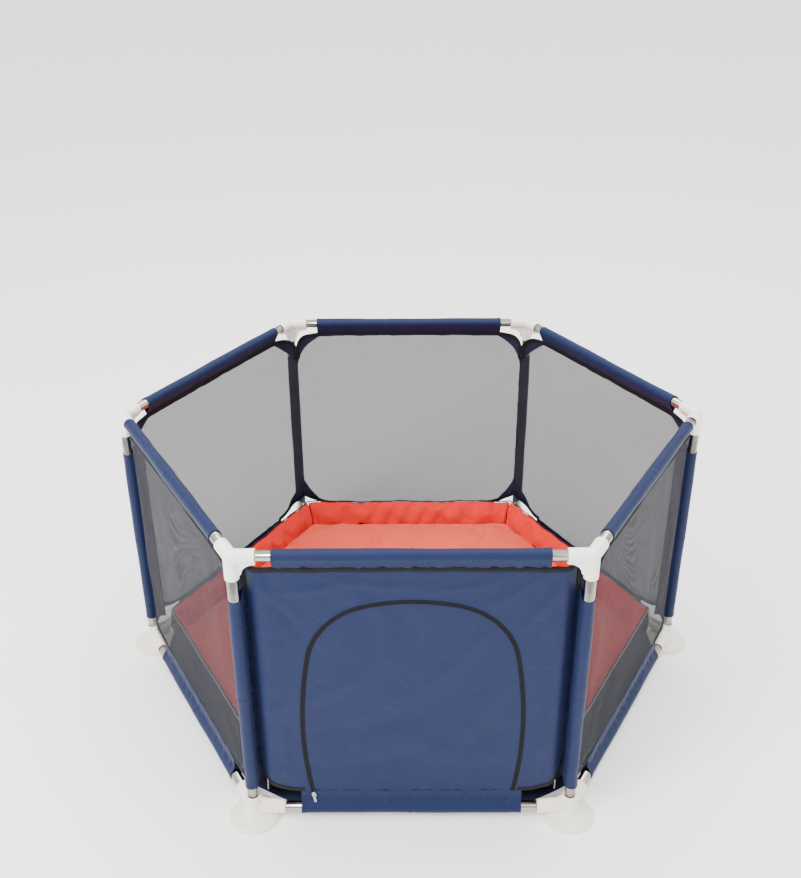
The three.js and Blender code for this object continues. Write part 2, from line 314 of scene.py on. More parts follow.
    @staticmethod
    def join(name: str, pieces: Sequence[Piece]) -> Piece:
        """Make several pieces one.

        Args:
            name: Name of the joined piece.
            pieces: The pieces, of which the first takes in the others.

        Returns:
            The joined piece.
        """
        Bench.take(pieces[0])
        for piece in pieces:
            piece.select_set(True)
        if len(pieces) > 1:
            bpy.ops.object.join()
        pieces[0].name = name
        return pieces[0]

    @staticmethod
    def copy(source: Piece, name: str, place: Matrix) -> Piece:
        """Copy a piece, with a mesh of its own that is moved to its place.

        Args:
            source: The piece to copy.
            name: Name of the copy.
            place: How the copy's points are moved.

        Returns:
            The copy.
        """
        twin = source.copy()
        twin.data = source.data.copy()
        twin.name = name
        bpy.context.scene.collection.objects.link(twin)
        twin.data.transform(place)
        return twin

    @staticmethod
    def smooth(piece: Piece, degrees: float = 50) -> Piece:
        """Shade a piece smooth, but for edges sharper than an angle.

        Args:
            piece: The piece to shade.
            degrees: The angle.

        Returns:
            The same piece.
        """
        Bench.take(piece)
        bpy.ops.object.shade_smooth_by_angle(angle=math.radians(degrees))
        return piece

    @staticmethod
    def places(piece: Piece) -> Numbers:
        """Read where a piece's points are.

        Args:
            piece: The piece to read.

        Returns:
            The places, as points x 3.
        """
        at = np.empty(len(piece.data.vertices) * 3, np.float32)
        piece.data.vertices.foreach_get("co", at)
        return at.reshape(-1, 3).astype(float)

    @staticmethod
    def reshape(piece: Piece, change: Callable[[Numbers], Numbers]) -> Piece:
        """Move a piece's points by a function of their places.

        Args:
            piece: The piece to change.
            change: Gives the new places from the old ones.

        Returns:
            The same piece.
        """
        moved = change(Bench.places(piece)).astype(np.float32)
        piece.data.vertices.foreach_set("co", moved.ravel())
        piece.data.update()
        return piece

    @staticmethod
    def unwrap(piece: Piece, flat: Numbers) -> None:
        """Write a piece's UV map.

        Args:
            piece: The piece to map.
            flat: The place of each of its points on the flat cloth, in metres.
        """
        corner = np.empty(len(piece.data.loops), np.int32)
        piece.data.loops.foreach_get("vertex_index", corner)
        layer = piece.data.uv_layers.active or piece.data.uv_layers.new(name="UVMap")
        layer.data.foreach_set("uv", flat[corner].astype(np.float32).ravel())


def ease(value: Numbers, low: float, high: float) -> Numbers:
    """Rise smoothly from 0 at low to 1 at high."""
    t = np.clip((value - low) / (high - low), 0, 1)
    return t * t * (3 - 2 * t)


def hexagon_reach(x: Numbers, y: Numbers) -> Numbers:
    """Return how far out places are, square to the nearest side of a hexagon."""
    return np.maximum.reduce([x * c + y * s for c, s in FLAT_WAYS])


def side_turn(index: int) -> Matrix:
    """Turn the front side's place into that of another side."""
    return Matrix.Rotation(index * TURN, 4, "Z")


def corner_turn(index: int, radius: float) -> Matrix:
    """Put a corner that was modelled at the origin, facing +X, on its post."""
    out = Matrix.Rotation(FIRST_CORNER + index * TURN, 4, "Z")
    return out @ Matrix.Translation((radius, 0, 0))


# ---- Material graphs ----


class Signal:
    """A socket of a material's graph, with arithmetic that adds Math nodes."""

    def __init__(self, graph: "Graph", socket: bpy.types.NodeSocket) -> None:
        """Hold a socket and the graph it belongs to."""
        self.graph = graph
        self.socket = socket

    def math(self, operation: str, *values: object) -> "Signal":
        """Add one Math node on this signal and the values after it."""
        wired = dict(enumerate((self, *values)))
        return self.graph.node("ShaderNodeMath", {"operation": operation}, wired)[0]

    def __add__(self, other: object) -> "Signal":
        """Add."""
        return self.math("ADD", other)

    __radd__ = __add__

    def __mul__(self, other: object) -> "Signal":
        """Multiply."""
        return self.math("MULTIPLY", other)

    def __sub__(self, other: object) -> "Signal":
        """Subtract."""
        return self.math("SUBTRACT", other)

    def __rsub__(self, other: object) -> "Signal":
        """Subtract this from a number."""
        return (self * -1.0) + other

    def __truediv__(self, other: object) -> "Signal":
        """Divide."""
        return self.math("DIVIDE", other)

    def sine(self) -> "Signal":
        """Sine, in radians."""
        return self.math("SINE")

    def size(self) -> "Signal":
        """Absolute value."""
        return self.math("ABSOLUTE")

    def least(self, other: object) -> "Signal":
        """The smaller of two."""
        return self.math("MINIMUM", other)

    def cell(self) -> "Signal":
        """Place within a repeating cell, from -0.5 to 0.5."""
        return self.math("FRACT") - 0.5

    def ramp(self, low: float, high: float) -> "Signal":
        """Rise from 0 at low to 1 at high, and stay within them."""
        return ((self - low) / (high - low)).math("MAXIMUM", 0.0).math("MINIMUM", 1.0)


class Graph:
    """One material and the nodes that make it."""

    def __init__(self, name: str) -> None:
        """Start an empty material.

        Args:
            name: Name of the material.
        """
        self.material = bpy.data.materials.new(name)
        self.material.use_nodes = True
        self.tree = self.material.node_tree
        self.tree.nodes.clear()

    def node(self, kind: str, settings: dict, wired: dict) -> dict:
        """Add a node.

        Args:
            kind: Blender's name for the kind of node.
            settings: Its properties, set before its sockets. "stops" fills a colour ramp.
            wired: Values or signals for its input sockets, by name or number.

        Returns:
            Its outputs as signals, by name and by number.
        """
        node = self.tree.nodes.new(kind)
        for key, value in settings.items():
            setattr(node, key, value)
        for key, value in wired.items():
            socket = node.inputs[key]
            if isinstance(value, Signal):
                self.tree.links.new(value.socket, socket)
            else:
                socket.default_value = value
        outputs = {i: Signal(self, socket) for i, socket in enumerate(node.outputs)}
        outputs.update({socket.name: outputs[i] for i, socket in enumerate(node.outputs)})
        return outputs

    def cloth_place(self) -> tuple[Signal, Signal, Signal]:
        """Read the place on the flat cut, in metres.

        Returns:
            The place, and its distances across and along the cloth.
        """
        place = self.node("ShaderNodeTexCoord", {}, {})["UV"]
        apart = self.node("ShaderNodeSeparateXYZ", {}, {0: place})
        return place, apart["X"], apart["Y"]

    def solid_place(self) -> Signal:
        """Return the place in the object's own frame."""
        return self.node("ShaderNodeTexCoord", {}, {})["Object"]

    def noise(self, place: Signal, size: float, detail: float = 2.0,
              stretch: Point = (1, 1, 1)) -> Signal:
        """Add a noise whose lumps are about one size.

        Args:
            place: Where the noise is read.
            size: Size of a lump in metres.
            detail: Levels of finer detail.
            stretch: How much tighter the noise is along each axis.

        Returns:
            The noise, about 0.5 on average.
        """
        mapped = self.node("ShaderNodeMapping", {}, {"Vector": place, "Scale": stretch})[0]
        wired = {"Vector": mapped, "Scale": 1 / size, "Detail": detail, "Roughness": 0.55}
        return self.node("ShaderNodeTexNoise", {}, wired)["Fac"]

    def blend(self, share: object, first: object, second: object) -> Signal:
        """Mix two colours by a share from 0 to 1."""
        settings = {"data_type": "RGBA", "clamp_factor": True}
        return self.node("ShaderNodeMix", settings, {0: share, 6: first, 7: second})[2]

    def bump(self, height: Signal, distance: float, strength: float = 1.0) -> Signal:
        """Turn a height into a normal."""
        wired = {"Height": height, "Distance": distance, "Strength": strength}
        return self.node("ShaderNodeBump", {}, wired)["Normal"]

    def finish(self, **wired: object) -> Material:
        """Add the shader and the output, and return the material.

        Args:
            **wired: Values or signals for the shader's sockets, with _ for a space.

        Returns:
            The finished material.
        """
        named = {key.replace("_", " "): value for key, value in wired.items()}
        shader = self.node("ShaderNodeBsdfPrincipled", {}, named)
        self.node("ShaderNodeOutputMaterial", {}, {"Surface": shader[0]})
        return self.material


def tone(red: float, green: float, blue: float) -> Colour:
    """Turn display values into a linear colour.

    Args:
        red: Red, from 0 to 255.
        green: Green.
        blue: Blue.

    Returns:
        The colour, with an opaque alpha.
    """
    linear = [(c / 255 / 12.92 if c < 10.3 else ((c / 255 + 0.055) / 1.055) ** 2.4)
              for c in (red, green, blue)]
    return (*linear, 1.0)


def shade(colour: Colour, factor: float) -> Colour:
    """Make a linear colour lighter or darker."""
    return (*(min(1.0, c * factor) for c in colour[:3]), 1.0)


# ---- Finishes ----


@dataclass(frozen=True)
class Finish:
    """A surface's look, from which its material is made."""

    name: str
    colour: Colour

    def make(self) -> Material:
        """Build the material and return it."""
        raise NotImplementedError


@dataclass(frozen=True)
class Cloth(Finish):
    """A plain woven cloth with soft mottling, and fine creases with a painted highlight along them.
    """

    pitch: float = 0.7 * MM
    relief: float = 0.08 * MM
    rough: float = 0.62
    sheen: float = 0.25
    mottle: float = 0.16
    # creases: strength of the crease relief and of the painted highlight along the creases
    creases: float = 0.35
    gloss: float = 0.22
    quilt: float = 0.0

    def make(self) -> Material:
        """Build the weave, the mottling, and the creases with their painted highlight.

        Returns:
            The material.
        """
        graph = Graph(self.name)
        place, across, along = graph.cloth_place()
        warp = (across * (math.tau / self.pitch)).sine()
        weft = (along * (math.tau / self.pitch)).sine()
        weave = warp * weft * 0.5 + 0.5
        slub = graph.noise(place, 2.5 * MM, 2, (1, 9, 1))
        cloud = graph.noise(place, 60 * MM, 3)
        scuff = graph.noise(place, 9 * MM, 4)
        bent = graph.node("ShaderNodeVectorMath", {"operation": "MULTIPLY_ADD"}, {
            0: graph.node("ShaderNodeTexNoise", {}, {"Vector": place, "Scale": 14.0})["Color"],
            1: (0.06, 0.06, 0.0), 2: place})[0]
        cracks = graph.node("ShaderNodeTexVoronoi", {"feature": "DISTANCE_TO_EDGE"}, {
            "Vector": bent, "Scale": 11.0})[0]
        crease = (1 - cracks.ramp(0.0, 0.016)) * (cloud + scuff * 0.6).ramp(0.74, 0.96)
        fine = graph.node("ShaderNodeTexVoronoi", {"feature": "DISTANCE_TO_EDGE"}, {
            "Vector": bent, "Scale": 37.0})[0]
        crease = crease + (1 - fine.ramp(0.0, 0.03)) * scuff.ramp(0.52, 0.7) * 0.5
        light = (cloud - 0.5) * self.mottle * 1.6 + (scuff - 0.5) * self.mottle
        light = light + (slub - 0.5) * self.mottle * 0.7 + (weave - 0.5) * 0.12
        # the creases lighten the colour here: a painted highlight along them
        light = (light + crease * self.creases * 0.8 + 0.5).ramp(0.0, 1.0)
        colour = graph.blend(light, shade(self.colour, 0.55), shade(self.colour, 1.45))
        height = weave * self.relief + (scuff - 0.5) * 0.5 * MM + crease * self.creases * MM
        height = height + (cloud - 0.5) * 3.0 * MM
        if self.quilt:
            seam = self.seam(across + (scuff - 0.5) * 3 * MM, along + (cloud - 0.5) * 4 * MM)
            # the seam line and a soft band beside it are darkened: painted shade in the quilted
            # groove
            colour = graph.blend(seam * 0.75, colour, shade(self.colour, 0.3))
            height = height - seam * 2.5 * MM
        rough = (slub - 0.5) * 0.2 + self.rough - crease * 0.08
        return graph.finish(Base_Color=colour, Roughness=rough, Sheen_Weight=self.sheen,
                            Sheen_Roughness=0.45, Specular_IOR_Level=self.gloss,
                            Normal=graph.bump(height, 1.0, 0.8))

    def seam(self, across: Signal, along: Signal) -> Signal:
        """Draw the hexagonal seam that is sewn through a quilted pad, with a soft band beside it
        for painted shade.

        Args:
            across: Distance across the pad.
            along: Distance along it.

        Returns:
            1 on the seam, and 0 far from it.
        """
        reach = [(across * c + along * s).size() for c, s in FLAT_WAYS[:3]]
        out = reach[0].math("MAXIMUM", reach[1]).math("MAXIMUM", reach[2])
        line = 1 - (out - self.quilt).size().ramp(0.4 * MM, 2.2 * MM)
        # soft: a wide band beside the seam line, darkened as painted shade in the groove
        soft = 1 - (out - self.quilt).size().ramp(0.0, 14 * MM)
        return line * 0.75 + soft * 0.25


@dataclass(frozen=True)
class Netting(Finish):
    """Knitted netting of round holes in staggered rows."""

    pitch: float = 3.2 * MM
    hole: float = 0.27
    veil: float = 0.5
    uneven: float = 0.4

    def make(self) -> Material:
        """Open the holes in the thread's colour.

        Returns:
            The material.
        """
        graph = Graph(self.name)
        place, across, along = graph.cloth_place()
        row = math.sqrt(3)
        uneven = graph.noise(place, 7 * MM, 1) - 0.5
        slack = graph.noise(place, 11 * MM, 1, (1.7, 0.6, 1)) - 0.5
        column = across / self.pitch + uneven * self.uneven
        line = along / (self.pitch * row) + slack * self.uneven

        def distance(shift: float) -> Signal:
            """Distance from the nearest hole's middle in one of the two sets of rows."""
            x, y = (column + shift).cell(), (line + shift).cell() * row
            return (x * x + y * y).math("SQRT")

        away = distance(0.0).least(distance(0.5))
        thread = away.ramp(self.hole, self.hole + 0.05) * (0.97 - self.veil) + self.veil
        fuzz = graph.noise(place, 1.2 * MM, 2)
        cloud = graph.noise(place, 70 * MM, 2)
        colour = graph.blend((fuzz + cloud) * 0.5, shade(self.colour, 0.5), shade(self.colour, 1.6))
        height = away * self.pitch + fuzz * 0.3 * MM
        return graph.finish(Base_Color=colour, Roughness=0.75 + (fuzz - 0.5) * 0.3, Alpha=thread,
                            Specular_IOR_Level=0.12, Normal=graph.bump(height, 1.0, 0.2))


@dataclass(frozen=True)
class Tape(Finish):
    """Ribbed woven tape or wound cord, with its ribs across its length."""

    rib: float = 1.3 * MM
    relief: float = 0.12 * MM
    rough: float = 0.7
    slant: float = 0.0

    def make(self) -> Material:
        """Build the ribs.

        Returns:
            The material.
        """
        graph = Graph(self.name)
        place, across, along = graph.cloth_place()
        ribs = ((along + across * self.slant) * (math.tau / self.rib)).sine() * 0.5 + 0.5
        edge = (across * (math.tau / (self.rib * 0.8))).sine() * 0.5 + 0.5
        worn = graph.noise(place, 8 * MM, 3)
        light = (ribs * 0.35 + edge * 0.15 + worn * 0.5).ramp(0.0, 1.0)
        colour = graph.blend(light, shade(self.colour, 0.5), shade(self.colour, 1.6))
        height = ribs * self.relief + edge * self.relief * 0.5 + worn * 0.3 * MM
        return graph.finish(Base_Color=colour, Roughness=(worn - 0.5) * 0.3 + self.rough,
                            Specular_IOR_Level=0.15, Normal=graph.bump(height, 1.0, 0.9))


@dataclass(frozen=True)
class Steel(Finish):
    """Polished stainless tube with faint drawing lines and finger marks."""

    def make(self) -> Material:
        """Build the polish.

        Returns:
            The material.
        """
        graph = Graph(self.name)
        place = graph.solid_place()
        lines = graph.noise(place, 0.6 * MM, 2, (1, 1, 0.05))
        marks = graph.noise(place, 14 * MM, 4)
        colour = graph.blend(marks, shade(self.colour, 0.86), shade(self.colour, 1.1))
        rough = marks.ramp(0.4, 0.75) * 0.1 + lines * 0.06 + 0.1
        return graph.finish(Base_Color=colour, Metallic=1.0, Roughness=rough,
                            Normal=graph.bump(lines, 0.01 * MM, 0.3))


@dataclass(frozen=True)
class Moulding(Finish):
    """Glossy moulded plastic with a faint grain and rubbed patches."""

    rough: float = 0.3

    def make(self) -> Material:
        """Build the skin.

        Returns:
            The material.
        """
        graph = Graph(self.name)
        place = graph.solid_place()
        grain = graph.noise(place, 0.5 * MM, 3)
        cloud = graph.noise(place, 22 * MM, 3)
        dust = graph.noise(place, 3 * MM, 4).ramp(0.56, 0.72)
        colour = graph.blend(cloud, shade(self.colour, 0.94), shade(self.colour, 1.04))
        colour = graph.blend(dust * 0.25, colour, shade(self.colour, 0.86))
        rough = cloud * 0.16 + grain * 0.06 + dust * 0.1 + (self.rough - 0.1)
        height = grain * 0.02 * MM + cloud * 0.4 * MM
        return graph.finish(Base_Color=colour, Roughness=rough, Coat_Weight=0.25,
                            Coat_Roughness=0.2, Subsurface_Weight=0.06,
                            Subsurface_Scale=0.004, Normal=graph.bump(height, 1.0, 0.6))


@dataclass(frozen=True)
class Metal(Finish):
    """Plated die casting, rubbed bright on its high spots."""

    rough: float = 0.28

    def make(self) -> Material:
        """Build the plating.

        Returns:
            The material.
        """
        graph = Graph(self.name)
        place = graph.solid_place()
        pits = graph.noise(place, 0.7 * MM, 3)
        rubbed = graph.noise(place, 4 * MM, 3)
        colour = graph.blend(rubbed, shade(self.colour, 0.7), shade(self.colour, 1.35))
        return graph.finish(Base_Color=colour, Metallic=1.0, Roughness=pits * 0.2 + self.rough,
                            Normal=graph.bump(pits, 0.05 * MM, 0.5))


@dataclass(frozen=True)
class Paper(Finish):
    """The studio's pale floor."""

    def make(self) -> Material:
        """Build the floor's even, matt surface.

        Returns:
            The material.
        """
        graph = Graph(self.name)
        cloud = graph.noise(graph.solid_place(), 0.8, 2)
        colour = graph.blend(cloud, shade(self.colour, 0.985), shade(self.colour, 1.01))
        return graph.finish(Base_Color=colour, Roughness=0.9, Emission_Color=colour,
                            Emission_Strength=0.45)


NAVY = Cloth("navy_weave", tone(11, 25, 63), sheen=0.03, rough=0.54)
NAVY_SHADE = Cloth("navy_weave_floor", tone(17, 25, 46), sheen=0.02, mottle=0.12)
CORAL = Cloth("coral_weave", tone(255, 84, 62), rough=0.85, sheen=0.08, mottle=0.07, creases=0.1,
              quilt=256 * MM)
SCARLET = Cloth("scarlet_weave", tone(236, 40, 34), rough=0.85, sheen=0.06, mottle=0.1,
                creases=0.12)
CARBON = Cloth("carbon_weave", tone(16, 8, 7), rough=0.85, sheen=0.0, mottle=0.3, creases=0.15,
               gloss=0.1)
NET = Netting("net_black", tone(40, 40, 46))
PATCH = Cloth("patch_weave", tone(24, 32, 56), rough=0.7, sheen=0.03)
BOUND = Tape("bound_tape", tone(22, 21, 24))
ZIP_TAPE = Tape("zip_tape", tone(15, 16, 20), rib=0.9 * MM)
THREAD = Tape("sewing_thread", tone(20, 24, 40), rib=0.5 * MM, slant=0.6)
CORD_PALE = Tape("cord_pale", tone(214, 222, 228), rib=1.6 * MM, slant=0.7)
CORD_DARK = Tape("cord_dark", tone(46, 36, 42), rib=1.6 * MM, slant=0.7)
STEEL = Steel("steel_polished", (0.38, 0.36, 0.32, 1.0))
IVORY = Moulding("ivory_plastic", tone(250, 249, 241))
# The feet are the same ivory plastic; this darker, more beige copy is painted shade.
SHADED_IVORY_FOOT = Moulding("ivory_plastic_shaded_foot", tone(240, 235, 216), rough=0.36)
NYLON = Moulding("nylon_teeth", tone(34, 34, 38), rough=0.4)
NICKEL = Metal("nickel_plate", (0.5, 0.5, 0.52, 1.0))
PAPER = Paper("studio_paper", (0.9, 0.9, 0.9, 1.0))


class Workshop:
    """Dresses finished pieces, rides them on their bodies and logs them."""

    def __init__(self) -> None:
        """Start with no materials made and no pieces handed over."""
        self.materials: dict[str, Material] = {}
        self.count = 0

    def material(self, finish: Finish) -> Material:
        """Give a finish's material, made the first time it is asked for.

        Args:
            finish: The finish.

        Returns:
            Its material.
        """
        if finish.name not in self.materials:
            self.materials[finish.name] = finish.make()
        return self.materials[finish.name]

    def dress(self, piece: Piece, *finishes: Finish) -> Piece:
        """Give a piece its finishes.

        Args:
            piece: The piece to dress.
            *finishes: One finish for each material index.

        Returns:
            The same piece.
        """
        for finish in finishes:
            piece.data.materials.append(self.material(finish))
        return piece

    def hand_over(self, piece: Piece, slot: Slot, body: str = "pen",
                  stands_for: Sequence[str] = ()) -> Piece:
        """Ride a finished piece on its body and log it.

        Args:
            piece: The finished piece.
            slot: The record's slot of the piece. It is not used.
            body: The body it moves with.
            stands_for: CAD nodes that it stands for.

        Returns:
            The same piece.
        """
        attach(piece, body)
        if stands_for:
            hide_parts(*stands_for)
        self.count += 1
        LOG.info("%s: %d faces on %s", piece.name, len(piece.data.polygons), body)
        return piece

    def spread(self, source: Piece, nodes: Sequence[str], ending: str,
               places: Sequence[Matrix], slot: Slot) -> list[Piece]:
        """Copy one finished piece to several places and hand each copy over.

        Args:
            source: The piece as modelled, which is removed at the end.
            nodes: The CAD node that each copy stands for and is named after.
            ending: What each copy's name adds to its node's.
            places: The place of each copy.
            slot: The record's slot of them all.

        Returns:
            The copies.
        """
        copies = [Bench.copy(source, f"{node}_{ending}", place)
                  for node, place in zip(nodes, places)]
        for piece, node in zip(copies, nodes):
            self.hand_over(piece, slot, stands_for=[node])
        bpy.data.objects.remove(source)
        return copies


# ---- Frame ----


@dataclass(frozen=True)
class Layout:
    """Where the pen's axes run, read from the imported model."""

    post_radius: float
    low_axis: float
    high_axis: float
    tube_radius: float

    @classmethod
    def read(cls) -> "Layout":
        """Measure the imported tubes.

        Returns:
            The layout.
        """
        post_low, post_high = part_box("post_right")
        top_low, top_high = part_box("top_rail_front_plug_half")
        low_low, low_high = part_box("bottom_rail_front_plug_half")
        return cls(post_radius=(post_low.x + post_high.x) / 2,
                   low_axis=(low_low.z + low_high.z) / 2,
                   high_axis=(top_low.z + top_high.z) / 2,
                   tube_radius=(top_high.z - top_low.z) / 2)

    @property
    def apothem(self) -> float:
        """Distance from the pen's centre to the middle of a rail."""
        return self.post_radius * math.cos(TURN / 2)

    def rail_height(self, level: Level) -> float:
        """Return the height of one ring of rails."""
        return self.high_axis if level is Level.TOP else self.low_axis

    def corners(self) -> list[Matrix]:
        """Return the places of the six corners, in the order of their names."""
        return [corner_turn(i, self.post_radius) for i in range(SIDES)]


@dataclass
class Tubes:
    """The steel tubes: two half rails to each side, and the posts."""

    layout: Layout
    shop: Workshop
    wall: float = 1.0 * MM
    chamfer: float = 0.5 * MM
    neck: float = 9.5 * MM
    neck_length: float = 36 * MM
    taper: float = 3 * MM
    steps: int = 48

    def pipe(self, name: str, start: float, end: float) -> Piece:
        """Turn a plain tube with eased rims along +Z.

        Args:
            name: Name of the tube.
            start: Height of its lower end.
            end: Height of its upper end.

        Returns:
            The tube.
        """
        r, b, c = self.layout.tube_radius, self.layout.tube_radius - self.wall, self.chamfer
        profile = [(b, start), (r - c, start), (r, start + c), (r, end - c), (r - c, end), (b, end),
                   (b, start)]
        return Bench.turned(name, profile, self.steps)

    def plug_pipe(self, name: str, start: float, middle: float) -> Piece:
        """Turn a tube along +Z whose upper end is reduced to plug into the next one.

        Args:
            name: Name of the tube.
            start: Height of its lower end.
            middle: Height at which the reduced neck starts.

        Returns:
            The tube.
        """
        r, b, c = self.layout.tube_radius, self.layout.tube_radius - self.wall, self.chamfer
        n, t, tip = self.neck, self.taper, middle + self.neck_length
        profile = [(b, start), (r - c, start), (r, start + c), (r, middle - t), (n, middle),
                   (n, tip - c), (n - c, tip), (n - self.wall, tip), (n - self.wall, middle - t),
                   (b, middle - 2 * t), (b, start)]
        return Bench.turned(name, profile, self.steps)

    def build(self) -> None:
        """Model the five kinds of tube, and copy them round the pen."""
        lay = Matrix.Rotation(math.pi / 2, 4, "Y")
        for level in Level:
            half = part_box(f"{level.value}_rail_front_socket_half")
            away = Matrix.Translation((0, -self.layout.apothem, self.layout.rail_height(level)))
            places = [side_turn(i) @ away @ lay for i in range(SIDES)]
            kinds = {"plug": self.plug_pipe("plug", -half[1].x, 0.0),
                     "socket": self.pipe("socket", half[0].x, half[1].x)}
            for kind, piece in kinds.items():
                nodes = [f"{level.value}_rail_{side}_{kind}_half" for side in SIDE_NAMES]
                self.shop.dress(piece, STEEL)
                self.shop.spread(piece, nodes, "tube", places, Slot.STEEL)
        low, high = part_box("post_right")
        post = self.shop.dress(self.pipe("post", low.z, high.z), STEEL)
        nodes = [f"post_{corner}" for corner in CORNER_NAMES]
        self.shop.spread(post, nodes, "tube", self.layout.corners(), Slot.STEEL)


@dataclass
class Corners:
    """The moulded top connectors and feet, each with two arms and an upright socket."""

    layout: Layout
    shop: Workshop
    arm_radius: float = 14 * MM
    bore: float = 11.3 * MM
    web: float = 9 * MM
    arm: float = 45 * MM
    leg: float = 49 * MM
    socket_floor: float = 15 * MM
    foot_arm: float = 66 * MM
    foot_neck: float = 33 * MM
    foot_socket_floor: float = 26 * MM
    foot_post_floor: float = -9 * MM
    disc: float = 52 * MM
    voxel: float = 1.15 * MM

    def arm_ways(self) -> list[Vector]:
        """Return the ways that the two arms leave a corner that faces +X."""
        return [Vector((math.cos(a), math.sin(a), 0)) for a in (math.pi - TURN, math.pi + TURN)]

    def gusset(self, way: Vector, reach: float, tip: float, up: float) -> Piece:
        """Model the curved web between an arm and the upright socket.

        Args:
            way: The way of the arm.
            reach: How far along the arm the web runs.
            tip: How far along the upright it runs.
            up: 1 if the upright stands above the arm, or -1 if it hangs below.

        Returns:
            The web as a closed slab.
        """
        r, lip = self.arm_radius, 3.5 * MM
        start, end = np.array([r + lip, tip]), np.array([reach, r + lip])
        bend = np.array([r + lip + 1 * MM, r + lip + 1 * MM])
        t = np.linspace(0, 1, 12)[:, None]
        curve = (1 - t) ** 2 * start + 2 * t * (1 - t) * bend + t ** 2 * end
        outline = [(0, 0), (0, tip), *map(tuple, curve), (reach, 0)]
        side = Vector((0, 0, 1)).cross(way) * (self.web / 2)
        places = [way * a + Vector((0, 0, up * b)) - side for a, b in outline]
        return Bench.slab("gusset", places, side * 2)

    def cast(self, name: str, parts: Sequence[Piece], bores: Sequence[Piece]) -> Piece:
        """Melt overlapping parts into one smooth moulding and bore its sockets.

        Args:
            name: Name of the moulding.
            parts: Closed parts that overlap.
            bores: Bars to cut away.

        Returns:
            The moulding.
        """
        piece = Bench.join(name, parts)
        Bench.apply(piece, "REMESH", mode="VOXEL", voxel_size=self.voxel)
        Bench.apply(piece, "SMOOTH", factor=0.6, iterations=9)
        for bore in bores:
            Bench.carve(piece, bore, "DIFFERENCE")
        return Bench.smooth(piece, 42)

    def connector(self) -> Piece:
        """Model the top corner about its axes' crossing.

        Returns:
            The connector.
        """
        centre, down = Vector(), Vector((0, 0, -1))
        Bench.clear()
        bpy.ops.mesh.primitive_uv_sphere_add(segments=48, ring_count=24, radius=self.arm_radius)
        parts = [bpy.context.object, Bench.bar("leg", centre, down * self.leg, self.arm_radius)]
        bores = [Bench.bar("bore", down * self.socket_floor, down * (self.leg + 5 * MM), self.bore)]
        for way in self.arm_ways():
            parts.append(Bench.bar("arm", centre, way * self.arm, self.arm_radius))
            parts.append(self.gusset(way, self.arm, self.leg - 9 * MM, -1))
            bores.append(Bench.bar("bore", way * self.socket_floor, way * (self.arm + 5 * MM),
                                   self.bore))
        return self.cast("connector", parts, bores)

    def foot(self) -> Piece:
        """Model the bottom corner on the ground.

        Returns:
            The foot.
        """
        axis = Vector((0, 0, self.layout.low_axis))
        up = Vector((0, 0, 1))
        top = axis + up * self.foot_neck
        r = self.arm_radius
        dome = Bench.turned("dome", [
            (0, 0), (self.disc - 2 * MM, 0), (self.disc, 2 * MM), (self.disc + 0.2 * MM, 6 * MM),
            (self.disc - 2.5 * MM, 9.5 * MM), (self.disc - 9 * MM, 12 * MM),
            (self.disc - 20 * MM, 15 * MM), (r + 9 * MM, 20 * MM), (r + 4 * MM, 27 * MM),
            (r + 1.6 * MM, 38 * MM), (r + 0.6 * MM, top.z - 2 * MM), (r - 1 * MM, top.z),
            (0, top.z)], 64)
        parts = [dome]
        bores = [Bench.bar("bore", axis + up * self.foot_post_floor, top + up * 5 * MM, self.bore)]
        for way in self.arm_ways():
            parts.append(Bench.bar("arm", axis, axis + way * self.foot_arm, r))
            web = self.gusset(way, self.foot_arm - 3 * MM, self.foot_neck - 3 * MM, 1)
            web.data.transform(Matrix.Translation(axis))
            parts.append(web)
            bores.append(Bench.bar("bore", axis + way * self.foot_socket_floor,
                                   axis + way * (self.foot_arm + 5 * MM), self.bore))
        return self.cast("foot", parts, bores)

    def build(self) -> None:
        """Model one connector and one foot, and copy them to the corners."""
        lift = Matrix.Translation((0, 0, self.layout.high_axis))
        places = self.layout.corners()
        top = self.shop.dress(self.connector(), IVORY)
        self.shop.spread(top, [f"top_connector_{corner}" for corner in CORNER_NAMES], "moulding",
                    [place @ lift for place in places], Slot.PLASTIC)
        # the feet take the darker copy of the ivory: painted shade
        foot = self.shop.dress(self.foot(), SHADED_IVORY_FOOT)
        self.shop.spread(foot, [f"foot_{corner}" for corner in CORNER_NAMES], "moulding", places,
                    Slot.PLASTIC)


# ---- Sewn cover ----


@dataclass(frozen=True)
class Fold:
    """One soft ridge or hollow in a sheet, as a place, a way and a size, in millimetres."""

    across: float
    up: float
    degrees: float
    length: float
    width: float
    depth: float

    def at(self, q: Numbers, z: Numbers) -> Numbers:
        """Work out its height at places on the sheet, in metres.

        Args:
            q: Distances across the sheet.
            z: Heights of the places.

        Returns:
            The fold's height at each place.
        """
        c, s = math.cos(math.radians(self.degrees)), math.sin(math.radians(self.degrees))
        dq, dz = q / MM - self.across, z / MM - self.up
        along, off = dq * c + dz * s, dz * c - dq * s
        off = off - 0.0012 * along ** 2
        return self.depth * MM * np.exp(-(along / self.length) ** 2 - (off / self.width) ** 2)


